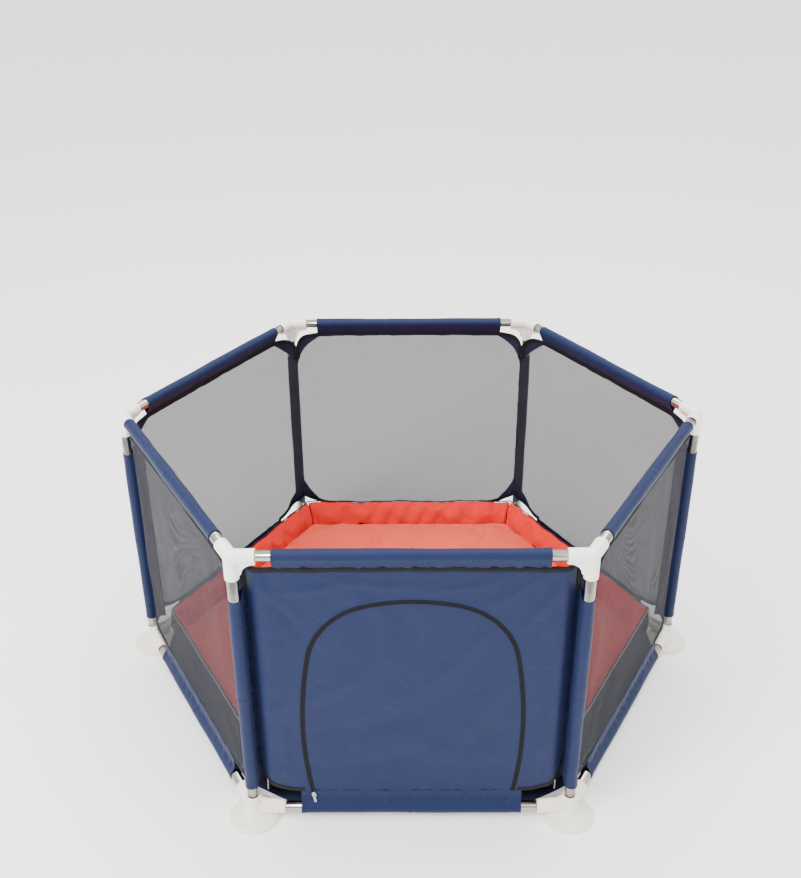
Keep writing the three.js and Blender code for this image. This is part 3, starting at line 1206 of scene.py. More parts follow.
DOOR_FOLDS = (
    Fold(-120, 470, 78, 120, 14, 1.6), Fold(-78, 440, 84, 130, 16, -1.4),
    Fold(-40, 455, 88, 110, 15, 1.5), Fold(5, 480, 95, 90, 20, -1.0),
    Fold(-160, 330, 28, 110, 16, 1.3), Fold(-60, 250, 16, 160, 26, -1.6),
    Fold(110, 430, 52, 110, 13, 1.2), Fold(150, 300, 64, 120, 22, 1.4),
    Fold(60, 180, -12, 170, 24, 1.3), Fold(-110, 140, 8, 120, 18, -1.1),
)
PANEL_FOLDS = (
    Fold(-255, 560, -52, 60, 9, 1.4), Fold(-235, 520, -62, 90, 12, -1.2),
    Fold(-262, 420, 84, 120, 13, 1.5), Fold(-250, 200, 96, 110, 12, 1.3),
    Fold(-180, 575, 8, 80, 10, 1.2), Fold(-60, 583, -5, 110, 9, 1.0),
    Fold(95, 578, 12, 90, 8, 1.1), Fold(180, 560, 34, 70, 9, 1.2),
    Fold(248, 540, 58, 80, 11, 1.4), Fold(262, 380, 92, 120, 14, -1.3),
    Fold(256, 190, 82, 110, 13, 1.4), Fold(-262, 120, 64, 60, 9, 1.0),
    Fold(262, 118, 116, 60, 9, 1.0),
)
NET_FOLDS = (
    Fold(-250, 380, 82, 190, 26, 4.0), Fold(-150, 260, 95, 180, 40, -3.5),
    Fold(-30, 350, 88, 220, 55, 3.5), Fold(120, 300, 80, 200, 38, -3.0),
    Fold(235, 400, 97, 190, 28, 4.0), Fold(40, 560, 2, 190, 14, 2.0),
    Fold(0, 120, 0, 210, 20, -2.0), Fold(-230, 150, 55, 80, 14, 2.5),
    Fold(230, 150, 125, 80, 14, 2.5),
)


@dataclass
class Wall:
    """The surface that one side's sheet lies in, from hem to top seam."""

    layout: Layout
    flat_half: float = 276 * MM
    bend_length: float = 20 * MM
    bend: float = math.radians(54)
    seam_depth: float = 29 * MM
    top: float = 618 * MM
    hem: float = 73 * MM
    top_round: float = 20 * MM
    sleeve_half: float = 225.5 * MM
    low_rise: float = 46 * MM
    drop: float = 0.0
    drop_half: float = 232 * MM
    mouth: float = 556 * MM
    binding_rise: float = 6 * MM
    drape: float = 1.7
    folds: tuple[Fold, ...] = ()
    calm: Callable[[Numbers, Numbers], Numbers] | None = None
    half: float = field(init=False)
    steps: Numbers = field(init=False)
    reach: Numbers = field(init=False)
    inset: Numbers = field(init=False)

    def __post_init__(self) -> None:
        """Work out how the sheet bends in towards the corner seams."""
        bent = self.seam_depth - self.bend_length * (1 - math.cos(self.bend)) / self.bend
        self.half = self.flat_half + self.bend_length + bent / math.sin(self.bend)
        self.steps = np.linspace(0, self.half, 400)
        way = self.bend * np.clip((self.steps - self.flat_half) / self.bend_length, 0, 1)
        step = self.steps[1]
        self.reach = np.concatenate([[0], np.cumsum(np.cos(way[:-1]) * step)])
        self.inset = np.concatenate([[0], np.cumsum(np.sin(way[:-1]) * step)])

    def relief(self, q: Numbers, z: Numbers) -> Numbers:
        """Return how far the folds push the sheet out."""
        total = self.drape * sum((fold.at(q, z) for fold in self.folds), np.zeros_like(q))
        return total * self.calm(q, z) if self.calm else total

    def surface(self, q: Numbers, z: Numbers) -> Numbers:
        """Find places on the sheet.

        Args:
            q: Distances across the sheet from its middle.
            z: Heights.

        Returns:
            The places, in an array one axis longer.
        """
        x = np.interp(abs(q), self.steps, self.reach) * np.sign(q)
        y = np.interp(abs(q), self.steps, self.inset) - self.layout.apothem - self.relief(q, z)
        return np.stack([x, y, z], axis=-1)

    def lay(self, q: Numbers, z: Numbers, out: Numbers | float) -> Numbers:
        """Return places at a distance outside the sheet.

        Args:
            q: Distance across the sheet from its middle.
            z: Height.
            out: Distance outside it.

        Returns:
            The places, in an array one axis longer.
        """
        q, z = np.asarray(q, float), np.asarray(z, float)
        small = 0.2 * MM
        across = self.surface(q + small, z) - self.surface(q - small, z)
        up = self.surface(q, z + small) - self.surface(q, z - small)
        normal = np.cross(across, up)
        normal /= np.linalg.norm(normal, axis=-1, keepdims=True)
        return self.surface(q, z) + normal * np.asarray(out, float)[..., None]

    def upper_edge(self, q: Numbers) -> Numbers:
        """Work out the height of the sheet's upper edge, with its rounded corners.

        Args:
            q: Distances across the sheet from its middle.

        Returns:
            The heights.
        """
        over = np.clip(abs(q) - (self.half - self.top_round), 0, self.top_round)
        slope = np.clip((abs(q) - self.drop_half) / (self.half - self.drop_half), 0, 1)
        edge = self.top - self.top_round + np.sqrt(np.maximum(self.top_round ** 2 - over ** 2, 0))
        return edge - self.drop * slope ** 1.5

    def lower_edge(self, q: Numbers) -> Numbers:
        """Return the height of the hem, which is cut back at the feet."""
        share = np.clip((abs(q) - self.sleeve_half) / (self.half - self.sleeve_half), 0, 1)
        return self.hem + self.low_rise * share ** 2

    def bound_edges(self) -> list[Numbers]:
        """Draw the lines that are bound, as pairs of distance across and height.

        Returns:
            The line over the top, and the lines round the two lower corners.
        """
        turn = np.linspace(0, math.pi / 2, 16)
        q = np.concatenate([self.half - self.top_round * (1 - np.cos(turn)),
                            np.linspace(self.half - self.top_round, 0, 60)[1:]])
        top = np.stack([q, self.upper_edge(q) + self.binding_rise * (1 - q / self.half) ** 0.2], 1)
        rise = np.linspace(self.mouth, top[0, 1], 20)[:-1]
        right = np.concatenate([np.stack([np.full_like(rise, self.half), rise], 1), top])
        over = np.concatenate([right, right[:-1][::-1] * [-1, 1]])
        q = np.linspace(self.sleeve_half - 8 * MM, self.half, 40)
        low = np.stack([q, self.lower_edge(q)], axis=1)
        rise = np.linspace(low[-1, 1], low[-1, 1] + 12 * MM, 6)[1:]
        low = np.concatenate([low, np.stack([np.full_like(rise, self.half), rise], 1)])
        return [over, low, low[::-1] * [-1, 1]]

    def sheet(self, name: str, columns: int, rows: int) -> Piece:
        """Lay the whole sheet between its edges, one layer thick.

        Args:
            name: Name of the new piece.
            columns: Faces across.
            rows: Faces up.

        Returns:
            The sheet, facing out.
        """
        share = np.linspace(-1, 1, columns + 1)
        q = np.broadcast_to(share * self.half, (rows + 1, columns + 1))
        v = np.linspace(0, 1, rows + 1)[:, None]
        z = self.lower_edge(q) * (1 - v) + self.upper_edge(q) * v
        return Bench.loft(name, self.lay(q, z, 0.0), (2 * self.half, self.top - self.hem))


def along_path(path: Numbers, count: int) -> Numbers:
    """Draw a line again with evenly spaced points.

    Args:
        path: The line.
        count: How many points.

    Returns:
        The new line.
    """
    gaps = np.linalg.norm(np.diff(path, axis=0), axis=1)
    at = np.concatenate([[0], np.cumsum(gaps)])
    want = np.linspace(0, at[-1], count)
    return np.stack([np.interp(want, at, path[:, k]) for k in range(path.shape[1])], axis=1)


def path_length(path: Numbers) -> float:
    """Return the length of a line."""
    return float(np.linalg.norm(np.diff(path, axis=0), axis=1).sum())


def left_of(path: Numbers) -> Numbers:
    """Find the way to the left of a flat line.

    Args:
        path: The line.

    Returns:
        A way of length 1 for each of its points.
    """
    way = np.gradient(path, axis=0)
    way /= np.linalg.norm(way, axis=1, keepdims=True)
    return np.stack([-way[:, 1], way[:, 0]], axis=1)


def inside_share(outline: Numbers) -> float:
    """Return the area inside a closed flat outline."""
    x, y = outline[:, 0], outline[:, 1]
    return abs(float(np.dot(x, np.roll(y, -1)) - np.dot(y, np.roll(x, -1)))) / 2


class Trim:
    """Narrow pieces that follow a line on a wall: bindings, zip tapes, teeth and stitches."""

    @staticmethod
    def band(name: str, wall: Wall, path: Numbers, spread: tuple[float, float],
             out: tuple[float, float], count: int, wave: float = 0.0) -> Piece:
        """Sweep a flat rounded section along a line on a wall.

        Args:
            name: Name of the new piece.
            wall: The wall it lies on.
            path: The line, as pairs of distance across and height.
            spread: How far the section runs to the right and to the left of the line.
            out: Its lowest and highest distance outside the sheet.
            count: Sections along the line.
            wave: How far it wanders sideways, as sewn by hand.

        Returns:
            The closed band.
        """
        line = along_path(path, count)
        left = left_of(line)
        run = np.linspace(0, path_length(line), count)
        wander = wave * (np.sin(run / (17 * MM)) + 0.7 * np.sin(run / (7.3 * MM) + 1.3))
        a, b = spread
        low, high = out
        ease_in = (high - low) * 0.35
        section = [(a, low), (a, high - ease_in), (a + ease_in, high), ((a + b) / 2, high),
                   (b - ease_in, high), (b, high - ease_in), (b, low), ((a + b) / 2, low), (a, low)]
        rows = []
        for offset, height in section:
            at = line + left * (offset + wander)[:, None]
            rows.append(wall.lay(at[:, 0], at[:, 1], np.full(count, height)))
        points = np.stack(rows, axis=1)
        return Bench.loft(name, points, (2 * (b - a), float(run[-1])), closed=True)

    @staticmethod
    def row(name: str, wall: Wall, path: Numbers, link: Piece, pitch: float,
            phase: float = 0.0) -> Piece:
        """Repeat one small piece along a line on a wall.

        Args:
            name: Name of the new piece.
            wall: The wall it lies on.
            path: The line, as pairs of distance across and height.
            link: The small piece, modelled along +X with +Z out of the sheet.
            pitch: Distance between copies.
            phase: Share of the pitch before the first one.

        Returns:
            All the copies as one piece. The small piece is used up.
        """
        total = path_length(path)
        number = int(total / pitch - phase)
        Bench.apply(link, "ARRAY", count=number, use_relative_offset=False,
                    use_constant_offset=True, constant_offset_displace=(pitch, 0, 0))
        fine = along_path(path, 900)
        run = np.linspace(0, total, len(fine))
        left = left_of(fine)

        def bend(at: Numbers) -> Numbers:
            """Carry points from the straight row to the line on the wall.

            Args:
                at: Their places in the straight row.

            Returns:
                Their places on the wall.
            """
            where = at[:, 0] + (phase + 0.5) * pitch
            q, z = (np.interp(where, run, fine[:, k]) for k in range(2))
            side = [np.interp(where, run, left[:, k]) for k in range(2)]
            return wall.lay(q + side[0] * at[:, 1], z + side[1] * at[:, 1], at[:, 2])

        link.name = name
        return Bench.smooth(Bench.reshape(link, bend))

    @staticmethod
    def stitch(length: float = 2.6 * MM, thick: float = 0.5 * MM) -> Piece:
        """Model one stitch: a short thread whose ends dip into the cloth.

        Args:
            length: Length of the thread.
            thick: Thickness of the thread.

        Returns:
            The stitch, along +X.
        """
        Bench.clear()
        bpy.ops.mesh.primitive_cube_add(size=1)
        piece = bpy.context.object
        piece.data.transform(Matrix.Diagonal((length, thick, thick, 1)))
        Bench.edit(piece)
        bpy.ops.mesh.bevel(offset=thick * 0.3, segments=1)
        bpy.ops.object.mode_set(mode="OBJECT")

        def dip(at: Numbers) -> Numbers:
            """Sink the ends and lift the stitch onto the cloth."""
            at[:, 2] += 0.55 * MM - 0.5 * MM * (2 * at[:, 0] / length) ** 2
            return at

        return Bench.reshape(piece, dip)

    @staticmethod
    def tooth(reach: float = 1.9 * MM, wide: float = 1.0 * MM, high: float = 1.9 * MM) -> Piece:
        """Model one coil tooth that reaches over the zip's middle line.

        Args:
            reach: How far it reaches into the tape.
            wide: Its width along the zip.
            high: Its height out of the tape.

        Returns:
            The tooth, with the zip's line along X.
        """
        Bench.clear()
        bpy.ops.mesh.primitive_cube_add(size=1)
        piece = bpy.context.object
        over = 0.7 * MM
        scale = Matrix.Diagonal((wide, reach + over, high, 1))
        piece.data.transform(Matrix.Translation((0, (reach - over) / 2, 0)) @ scale)
        Bench.edit(piece)
        bpy.ops.mesh.bevel(offset=0.28 * MM, segments=1)
        bpy.ops.object.mode_set(mode="OBJECT")
        return piece


@dataclass(frozen=True)
class Flange:
    """A sleeve's seam: where its layers meet and end, from the axis, and how deep it puckers."""

    meet: float
    reach: float
    pucker: float


@dataclass
class Sleeves:
    """Folded cloth sleeves on rails and posts: a loop with a flat two-layer flange."""

    layout: Layout
    shop: Workshop
    on_post: Flange = Flange(23 * MM, 35.5 * MM, 0.9 * MM)
    on_top: Flange = Flange(25 * MM, 33 * MM, 1.2 * MM)
    on_low: Flange = Flange(19 * MM, 46 * MM, 1.0 * MM)
    radius: float = 12.7 * MM
    cloth: float = 0.9 * MM
    top_length: float = 503 * MM
    low_length: float = 451 * MM
    post_low: float = 88 * MM
    post_high: float = 554 * MM
    slant: float = 13 * MM
    hem: float = 9 * MM

    def section(self, seam: Flange) -> tuple[Numbers, Numbers, Numbers]:
        """Draw a sleeve's section.

        Args:
            seam: The sleeve's flange.

        Returns:
            Distances towards the seam, distances across, and shares of the flange.
        """
        meet, reach = seam.meet, seam.reach
        alpha = math.acos(self.radius / meet)
        turn = np.linspace(alpha, math.tau - alpha, 33)
        arc = np.stack([self.radius * np.cos(turn), self.radius * np.sin(turn)], axis=1)
        gap = self.cloth * 0.55
        flange = np.linspace(reach, meet + 1 * MM, 9)
        slope = np.linspace(0, 1, 6)[1:-1, None]
        first = np.stack([flange, np.full_like(flange, gap)], axis=1)
        lead = first[-1] * (1 - slope) + arc[0] * slope
        start = np.concatenate([first, lead])
        end = start[::-1] * [1, -1]
        points = np.concatenate([start, arc, end])
        share = ease(points[:, 0], self.radius * 0.6, meet)
        return points[:, 0], points[:, 1], share

    def loop(self, name: str, length: float, seam: Flange, seed: float) -> Piece:
        """Loft a sleeve along +X, with its axis on X and its seam towards -Z.

        Args:
            name: Name of the new piece.
            length: Length of the sleeve.
            seam: Its flange.
            seed: Shifts the puckers, so that sleeves differ.

        Returns:
            The sleeve with its thickness.
        """
        toward, across, share = self.section(seam)
        rows = int(length / (4 * MM))
        x = np.linspace(-length / 2, length / 2, rows + 1)[:, None]
        wave = np.sin(x / (4.6 * MM) + seed) + 0.8 * np.sin(x / (2.9 * MM) + 2.3 * seed)
        wave = wave + 0.9 * np.sin(x / (11 * MM) + 0.7 * seed)
        slant = np.sin(x / (5.3 * MM) + toward[None, :] / (3.5 * MM) + seed)
        joint = (np.exp(-((x - 4 * MM) / (2.2 * MM)) ** 2)
                 - 0.7 * np.exp(-((x + 1 * MM) / (4 * MM)) ** 2))
        slack = 0.5 * MM * (np.sin(x / (63 * MM) + seed) + np.sin(x / (24 * MM) + 3 * seed) * 0.5)
        hem = ease(abs(x), length / 2 - self.hem, length / 2 - self.hem + 2 * MM) * 0.5 * MM
        grow = 1 + (slack * (1 - share) + hem - joint * 0.9 * MM * (1 - share)) / self.radius
        ruffle = seam.pucker * share * (wave * 0.45 + slant * 0.4)
        push = ruffle * np.sign(across)[None, :] * ease(abs(across), 0.0, 0.6 * MM)[None, :]
        y = across[None, :] * grow + push * 0.6 + ruffle * 0.5
        z = -(toward[None, :] * grow)
        points = np.stack([np.broadcast_to(x, y.shape), y, z], axis=-1)
        return Bench.thicken(Bench.loft(name, points, (self.girth(seam), length)), self.cloth)

    def girth(self, seam: Flange) -> float:
        """Return the width of the flat strip that makes a sleeve."""
        toward, across, _ = self.section(seam)
        return float(np.hypot(np.diff(toward), np.diff(across)).sum())

    def posts(self) -> None:
        """Model the sleeve of one post and copy it to the others."""
        length = self.post_high - self.post_low
        sleeve = self.loop("post_sleeve", length, self.on_post, 0.4)
        middle = (self.post_high + self.post_low) / 2

        def stand(at: Numbers) -> Numbers:
            """Stand the sleeve up with its seam inwards and its mouth cut at a slant.

            Args:
                at: Places on the sleeve as lofted.

            Returns:
                Their places on a post at the origin.
            """
            inward = -at[:, 2]
            cut = self.slant * ease(inward, 0.0, self.on_post.reach)
            rise = cut * ease(at[:, 0], 0.0, length / 2)
            return np.stack([-inward, at[:, 1], at[:, 0] + middle + rise], axis=1)

        Bench.heal(Bench.reshape(sleeve, stand))
        self.shop.dress(Bench.smooth(sleeve), NAVY)
        nodes = [f"post_sleeve_{corner}" for corner in CORNER_NAMES]
        made = self.shop.spread(sleeve, nodes, "cloth", self.layout.corners(), Slot.NAVY)
        for piece, corner in zip(made, CORNER_NAMES):
            round(self.girth(self.on_post), 3)

    def on_rail(self, name: str, level: Level, seed: float, longer: float) -> Piece:
        """Model a rail's sleeve in place on the front side.

        Args:
            name: Name of the new piece.
            level: Which rail it is on.
            seed: Shifts its puckers.
            longer: How much further it reaches at its left end.

        Returns:
            The sleeve.
        """
        if level is Level.TOP:
            length = self.top_length + longer
            piece = self.loop(name, length, self.on_top, seed)
            piece.data.transform(Matrix.Translation((longer / 2, 0, 0)))
            turn = Matrix.Rotation(math.pi, 4, "Z")
        else:
            piece = self.loop(name, self.low_length, self.on_low, seed)
            turn = Matrix.Rotation(math.pi, 4, "X")
        height = self.layout.rail_height(level)
        piece.data.transform(Matrix.Translation((0, -self.layout.apothem, height)) @ turn)
        return piece

    def rail_cut(self, level: Level, longer: float) -> tuple[float, float]:
        """Work out the flat size of a rail's sleeve.

        Args:
            level: Which rail it is on.
            longer: How much further it reaches at its left end.

        Returns:
            Its width and length.
        """
        if level is Level.TOP:
            return round(self.girth(self.on_top), 3), self.top_length + longer
        return round(self.girth(self.on_low), 3), self.low_length


@dataclass(frozen=True)
class Arch:
    """The door's outline: a three-centred arch, wider at its waist than at its hem."""

    centre: float = 3 * MM
    top: float = 548 * MM
    half: float = 217 * MM
    widest: float = 235 * MM
    side_radius: float = 1000 * MM
    corner_radius: float = 148 * MM
    top_radius: float = 376 * MM
    side_steps: int = 40
    corner_steps: int = 24
    crown_steps: int = 16

    def outline(self, grow: float, start: float, end: float) -> Numbers:
        """Return the arch from its right foot over to its left foot.

        Args:
            grow: How far outside the zip's middle line it runs.
            start: Height of the right foot.
            end: Height of the left foot.

        Returns:
            Pairs of distance across and height.
        """
        side = np.array([self.half - self.side_radius, self.widest])
        crown = np.array([0.0, self.top - self.top_radius])
        a, b = self.side_radius - self.corner_radius, self.top_radius - self.corner_radius
        gap = crown - side
        apart = float(np.hypot(*gap))
        along = (a * a - b * b + apart * apart) / (2 * apart)
        across = math.sqrt(a * a - along * along)
        unit = gap / apart
        corner = side + unit * along + np.array([-unit[1], unit[0]]) * across
        first, second = (math.atan2(*(corner - c)[::-1]) for c in (side, crown))

        def arc(middle: Numbers, radius: float, low: float, high: float, count: int) -> Numbers:
            """Return points along one arc."""
            t = np.linspace(low, high, count)
            return middle + (radius + grow) * np.stack([np.cos(t), np.sin(t)], axis=1)

        def half_arch(foot: float) -> Numbers:
            """Draw the right half from its foot up to the top.

            Args:
                foot: Height of its foot.

            Returns:
                Its points.
            """
            low = math.asin((foot - side[1]) / (self.side_radius + grow))
            return np.concatenate([
                arc(side, self.side_radius, low, first, self.side_steps),
                arc(corner, self.corner_radius, first, second, self.corner_steps)[1:],
                arc(crown, self.top_radius, second, math.pi / 2, self.crown_steps)[1:]])

        left = half_arch(end)[:-1][::-1] * [-1, 1]
        return np.concatenate([half_arch(start), left]) + [self.centre, 0.0]


@dataclass
class Cover:
    """The sewn cover: door wall, door, netting walls, sleeves, bindings and floor."""

    layout: Layout
    shop: Workshop
    sleeves: Sleeves
    arch: Arch
    cloth: float = 0.9 * MM
    zip_gap: float = 1.5 * MM
    door_low: float = 60 * MM
    foot_left: float = 56 * MM
    long_sleeve: float = 24 * MM
    bound_spread: tuple[float, float] = (-1.5 * MM, 8.5 * MM)
    bound_thick: tuple[float, ...] = (3.3 * MM, 1.6 * MM, 1.6 * MM)
    bound_steps: tuple[int, ...] = (360, 60, 60)
    bound_wander: float = 0.5 * MM
    high_patch: tuple[float, float] = (84 * MM, 52 * MM)
    low_patch: tuple[float, float] = (66 * MM, 56 * MM)
    floor_sag: float = 3.5 * MM
    floor_wave: float = 1.3 * MM
    floor_crease: float = 1.6 * MM
    crease_width: float = 4 * MM

    def seams(self) -> Numbers:
        """Return the zip's middle line as on the door wall."""
        return self.arch.outline(0.0, 73 * MM, self.foot_left)

    def calm(self, q: Numbers, z: Numbers) -> Numbers:
        """Calm the folds near the zip and the hem.

        Args:
            q: Distances across the wall.
            z: Heights.

        Returns:
            0 at the zip and the hem, and 1 far from them.
        """
        line = along_path(self.seams(), 160)
        flat_q, flat_z = q.ravel(), z.ravel()
        gap = np.full(flat_q.shape, 1.0)
        for place in line:
            gap = np.minimum(gap, np.hypot(flat_q - place[0], flat_z - place[1]))
        gap = gap.reshape(q.shape)
        return ease(gap, 5 * MM, 38 * MM) * ease(z, 76 * MM, 110 * MM)

    def prism(self, grow: float, low: float) -> Piece:
        """Model the tool that cuts the door's shape through the wall.

        Args:
            grow: How far outside the zip's middle line it cuts.
            low: Height of its feet.

        Returns:
            The tool.
        """
        line = self.arch.outline(grow, low, low)
        depth = 60 * MM  # well past the deepest fold on both faces
        face = -self.layout.apothem - depth / 2
        return Bench.slab("prism", [(q, face, z) for q, z in line], (0, depth, 0))

    def binding(self, wall: Wall, node: str, side: int) -> Piece:
        """Bind a wall's edge on both faces with one folded tape.

        Args:
            wall: The wall it edges.
            node: CAD node that it stands for in part.
            side: Index of the side.

        Returns:
            The binding.
        """
        bands = [Trim.band("binding", wall, path, self.bound_spread, (-thick, thick), steps,
                           self.bound_wander)
                 for path, steps, thick in zip(wall.bound_edges(), self.bound_steps,
                                               self.bound_thick)]
        piece = Bench.join(f"{node}_binding", bands)
        piece.data.transform(side_turn(side))
        return self.shop.hand_over(self.shop.dress(piece, BOUND), Slot.BINDING, stands_for=[node])

    def rail_sleeves(self, index: int, node: str) -> None:
        """Model a side's two rail sleeves.

        Args:
            index: Index of the side.
            node: CAD node that they stand for in part.
        """
        side = SIDE_NAMES[index]
        for level in Level:
            longer = self.long_sleeve if (side, level) == ("front_left", Level.TOP) else 0.0
            name = f"{level.value}_sleeve_{side}_cloth"
            piece = self.sleeves.on_rail(name, level, 1.7 * index, longer)
            piece.data.transform(side_turn(index))
            self.shop.hand_over(self.shop.dress(piece, NAVY), Slot.NAVY, stands_for=[node])
            self.sleeves.rail_cut(level, longer)

    def door_wall(self) -> None:
        """Model the front wall, its door, the zip between them and their stitching."""
        wall = Wall(self.layout, folds=DOOR_FOLDS + PANEL_FOLDS, calm=self.calm)
        panel = Bench.thicken(wall.sheet("door_wall_panel", 108, 92), self.cloth)
        flap = Bench.copy(panel, "door_flap_cloth", Matrix())
        Bench.carve(panel, self.prism(self.zip_gap, self.door_low), "DIFFERENCE")
        Bench.carve(flap, self.prism(-self.zip_gap, self.door_low), "INTERSECT")
        for piece in (panel, flap):
            self.shop.dress(Bench.smooth(piece), NAVY)
        self.shop.hand_over(panel, Slot.NAVY, stands_for=["door_wall"])
        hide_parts("door_flap")
        self.shop.count += 1
        face = -self.layout.apothem
        wall.hem + 9 * MM
        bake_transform(flap)
        bound = self.binding(wall, "door_wall", 0)
        self.rail_sleeves(0, "door_wall")
        outer = self.zip_side("pen", 1, wall)
        inner = self.zip_side("door", -1, wall)
        hole = inside_share(self.arch.outline(self.zip_gap, wall.hem, wall.hem))
        door = inside_share(self.arch.outline(-self.zip_gap, wall.hem, wall.hem))
        width, height = 2 * wall.half, wall.top - wall.hem
        width * height * 0.985 - hole
        2 * self.arch.half
        self.arch.top - wall.hem

    def zip_side(self, body: str, way: int, wall: Wall) -> list[Piece]:
        """Model one half of the zip: its tape, its teeth and two rows of stitches.

        Args:
            body: The body that this half moves with.
            way: 1 for the half outside the line, or -1 for the one inside.
            wall: The wall it lies on.

        Returns:
            The tape, the teeth and the stitches.
        """
        right = wall.hem + 1 * MM
        low = 57 * MM if way > 0 else right
        line = self.arch.outline(0.0, right, low)
        edges = sorted((-way * 0.2 * MM, -way * 4.8 * MM))
        tape = Trim.band(f"zip_tape_{body}", wall, line, tuple(edges),
                         (-0.2 * MM, 1.25 * MM), 420)
        self.shop.hand_over(self.shop.dress(tape, ZIP_TAPE), Slot.BINDING, body)
        tooth = Trim.tooth()
        tooth.data.transform(Matrix.Translation((0, 0, -1.25 * MM)))
        if way > 0:
            tooth.data.transform(Matrix.Rotation(math.pi, 4, "Z"))
        teeth = Trim.row(f"zip_teeth_{body}", wall, line, tooth, 2.0 * MM, 0.5 if way > 0 else 0.0)
        self.shop.hand_over(self.shop.dress(Bench.heal(teeth), NYLON), Slot.BINDING, body)
        rows = [Trim.row(f"stitch_{i}", wall, self.arch.outline(way * away, right, low),
                         Trim.stitch(), 3.6 * MM)
                for i, away in enumerate((3.9 * MM, 7.5 * MM))]
        sewn = Bench.join(f"zip_stitches_{body}", rows)
        self.shop.hand_over(self.shop.dress(Bench.heal(sewn), THREAD), Slot.BINDING, body)
        return [tape, teeth, sewn]

    def net_walls(self) -> None:
        """Model a netting wall and copy it, with its binding and patches, to five sides."""
        wall = Wall(self.layout, folds=NET_FOLDS, drop=14 * MM, drape=1.0)
        net = self.shop.dress(wall.sheet("net", 72, 60), NET)
        area = 2 * wall.half * (wall.top - wall.hem) * 0.985
        for index, side in enumerate(SIDE_NAMES):
            if side == "front":
                continue
            node = f"mesh_wall_{side}"
            sheet = Bench.copy(net, f"{node}_net", side_turn(index))
            self.shop.hand_over(sheet, Slot.NETTING, stands_for=[node])
            bound = self.binding(wall, node, index)
            patches = self.patches(f"{node}_patches", wall, index)
            self.rail_sleeves(index, node)
            2 * wall.half
            wall.top - wall.hem
        bpy.data.objects.remove(net)

    def patches(self, name: str, wall: Wall, index: int) -> Piece:
        """Model the cloth patches that strengthen a netting wall's four corners.

        Args:
            name: Name of the new piece.
            wall: The wall they lie on.
            index: Index of the side.

        Returns:
            The four patches as one piece.
        """
        made = []
        for way in (-1, 1):
            for high in (True, False):
                size, tall = self.high_patch if high else self.low_patch
                share = np.linspace(0, 1, 13)
                column, row = np.meshgrid(share, share)
                q = (wall.half - 1 * MM - column * size)
                reach = (1 - column) ** 1.15 * tall
                edge = wall.upper_edge(q) if high else wall.lower_edge(q)
                z = edge - row * reach if high else edge + row * reach
                flip = way if high else -way
                at = wall.lay(q * way, z, np.full(q.shape, 0.6 * MM))
                at = at if flip < 0 else at[:, ::-1]
                made.append(Bench.thicken(Bench.loft("patch", at, (size, size)), 1.7 * MM))
        piece = Bench.heal(Bench.join(name, made), reach=0.01 * MM)
        piece.data.transform(side_turn(index))
        return self.shop.hand_over(self.shop.dress(Bench.smooth(piece), PATCH), Slot.NAVY)

    def floor(self) -> None:
        """Model the floor sheet, which sags a little and is creased from folding."""
        low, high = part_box("floor_sheet")
        apothem, cut = -low.y, high.x
        middle = (low.z + high.z) / 2
        Bench.clear()
        bpy.ops.mesh.primitive_grid_add(x_subdivisions=150, y_subdivisions=150, size=2 * cut)
        piece = bpy.context.object
        piece.name = "floor_sheet_cloth"
        for step in range(SIDES):
            for angle, reach in ((step * TURN, cut - 0.2 * MM), ((step + 0.5) * TURN, apothem)):
                way = Vector((math.cos(angle), math.sin(angle), 0))
                Bench.edit(piece)
                bpy.ops.mesh.bisect(plane_co=way * reach, plane_no=way, clear_outer=True)
                bpy.ops.object.mode_set(mode="OBJECT")
        Bench.unwrap(piece, Bench.places(piece)[:, :2])

        def settle(at: Numbers) -> Numbers:
            """Let the sheet sag between its seams, with creases where it was folded.

            Args:
                at: Places on the flat sheet.

            Returns:
                The same places, settled.
            """
            x, y = at[:, 0], at[:, 1]
            far = hexagon_reach(x, y) / apothem
            calm = 1 - ease(far, 0.9, 1.0)
            wave = np.sin(x * 17 + 0.6) * np.sin(y * 13 + 1.9) + 0.6 * np.sin(x * 31 - y * 22)
            off = [x * math.cos(k * TURN) + y * math.sin(k * TURN) for k in range(3)]
            crease = sum(np.exp(-(away / self.crease_width) ** 2) for away in off)
            at[:, 2] = middle + calm * (-self.floor_sag + self.floor_wave * wave
                                        + self.floor_crease * crease)
            return at

        Bench.thicken(Bench.reshape(piece, settle), self.cloth)
        self.shop.dress(piece, NAVY_SHADE)
        self.shop.hand_over(piece, Slot.NAVY, stands_for=["floor_sheet"])
        area = 2 * math.sqrt(3) * apothem ** 2
        area -= 6 * (apothem / math.cos(TURN / 2) - cut) ** 2 * math.tan(TURN)

    def build(self) -> None:
        """Build every part of the cover."""
        self.sleeves.posts()
        self.door_wall()
        self.net_walls()
        self.floor()


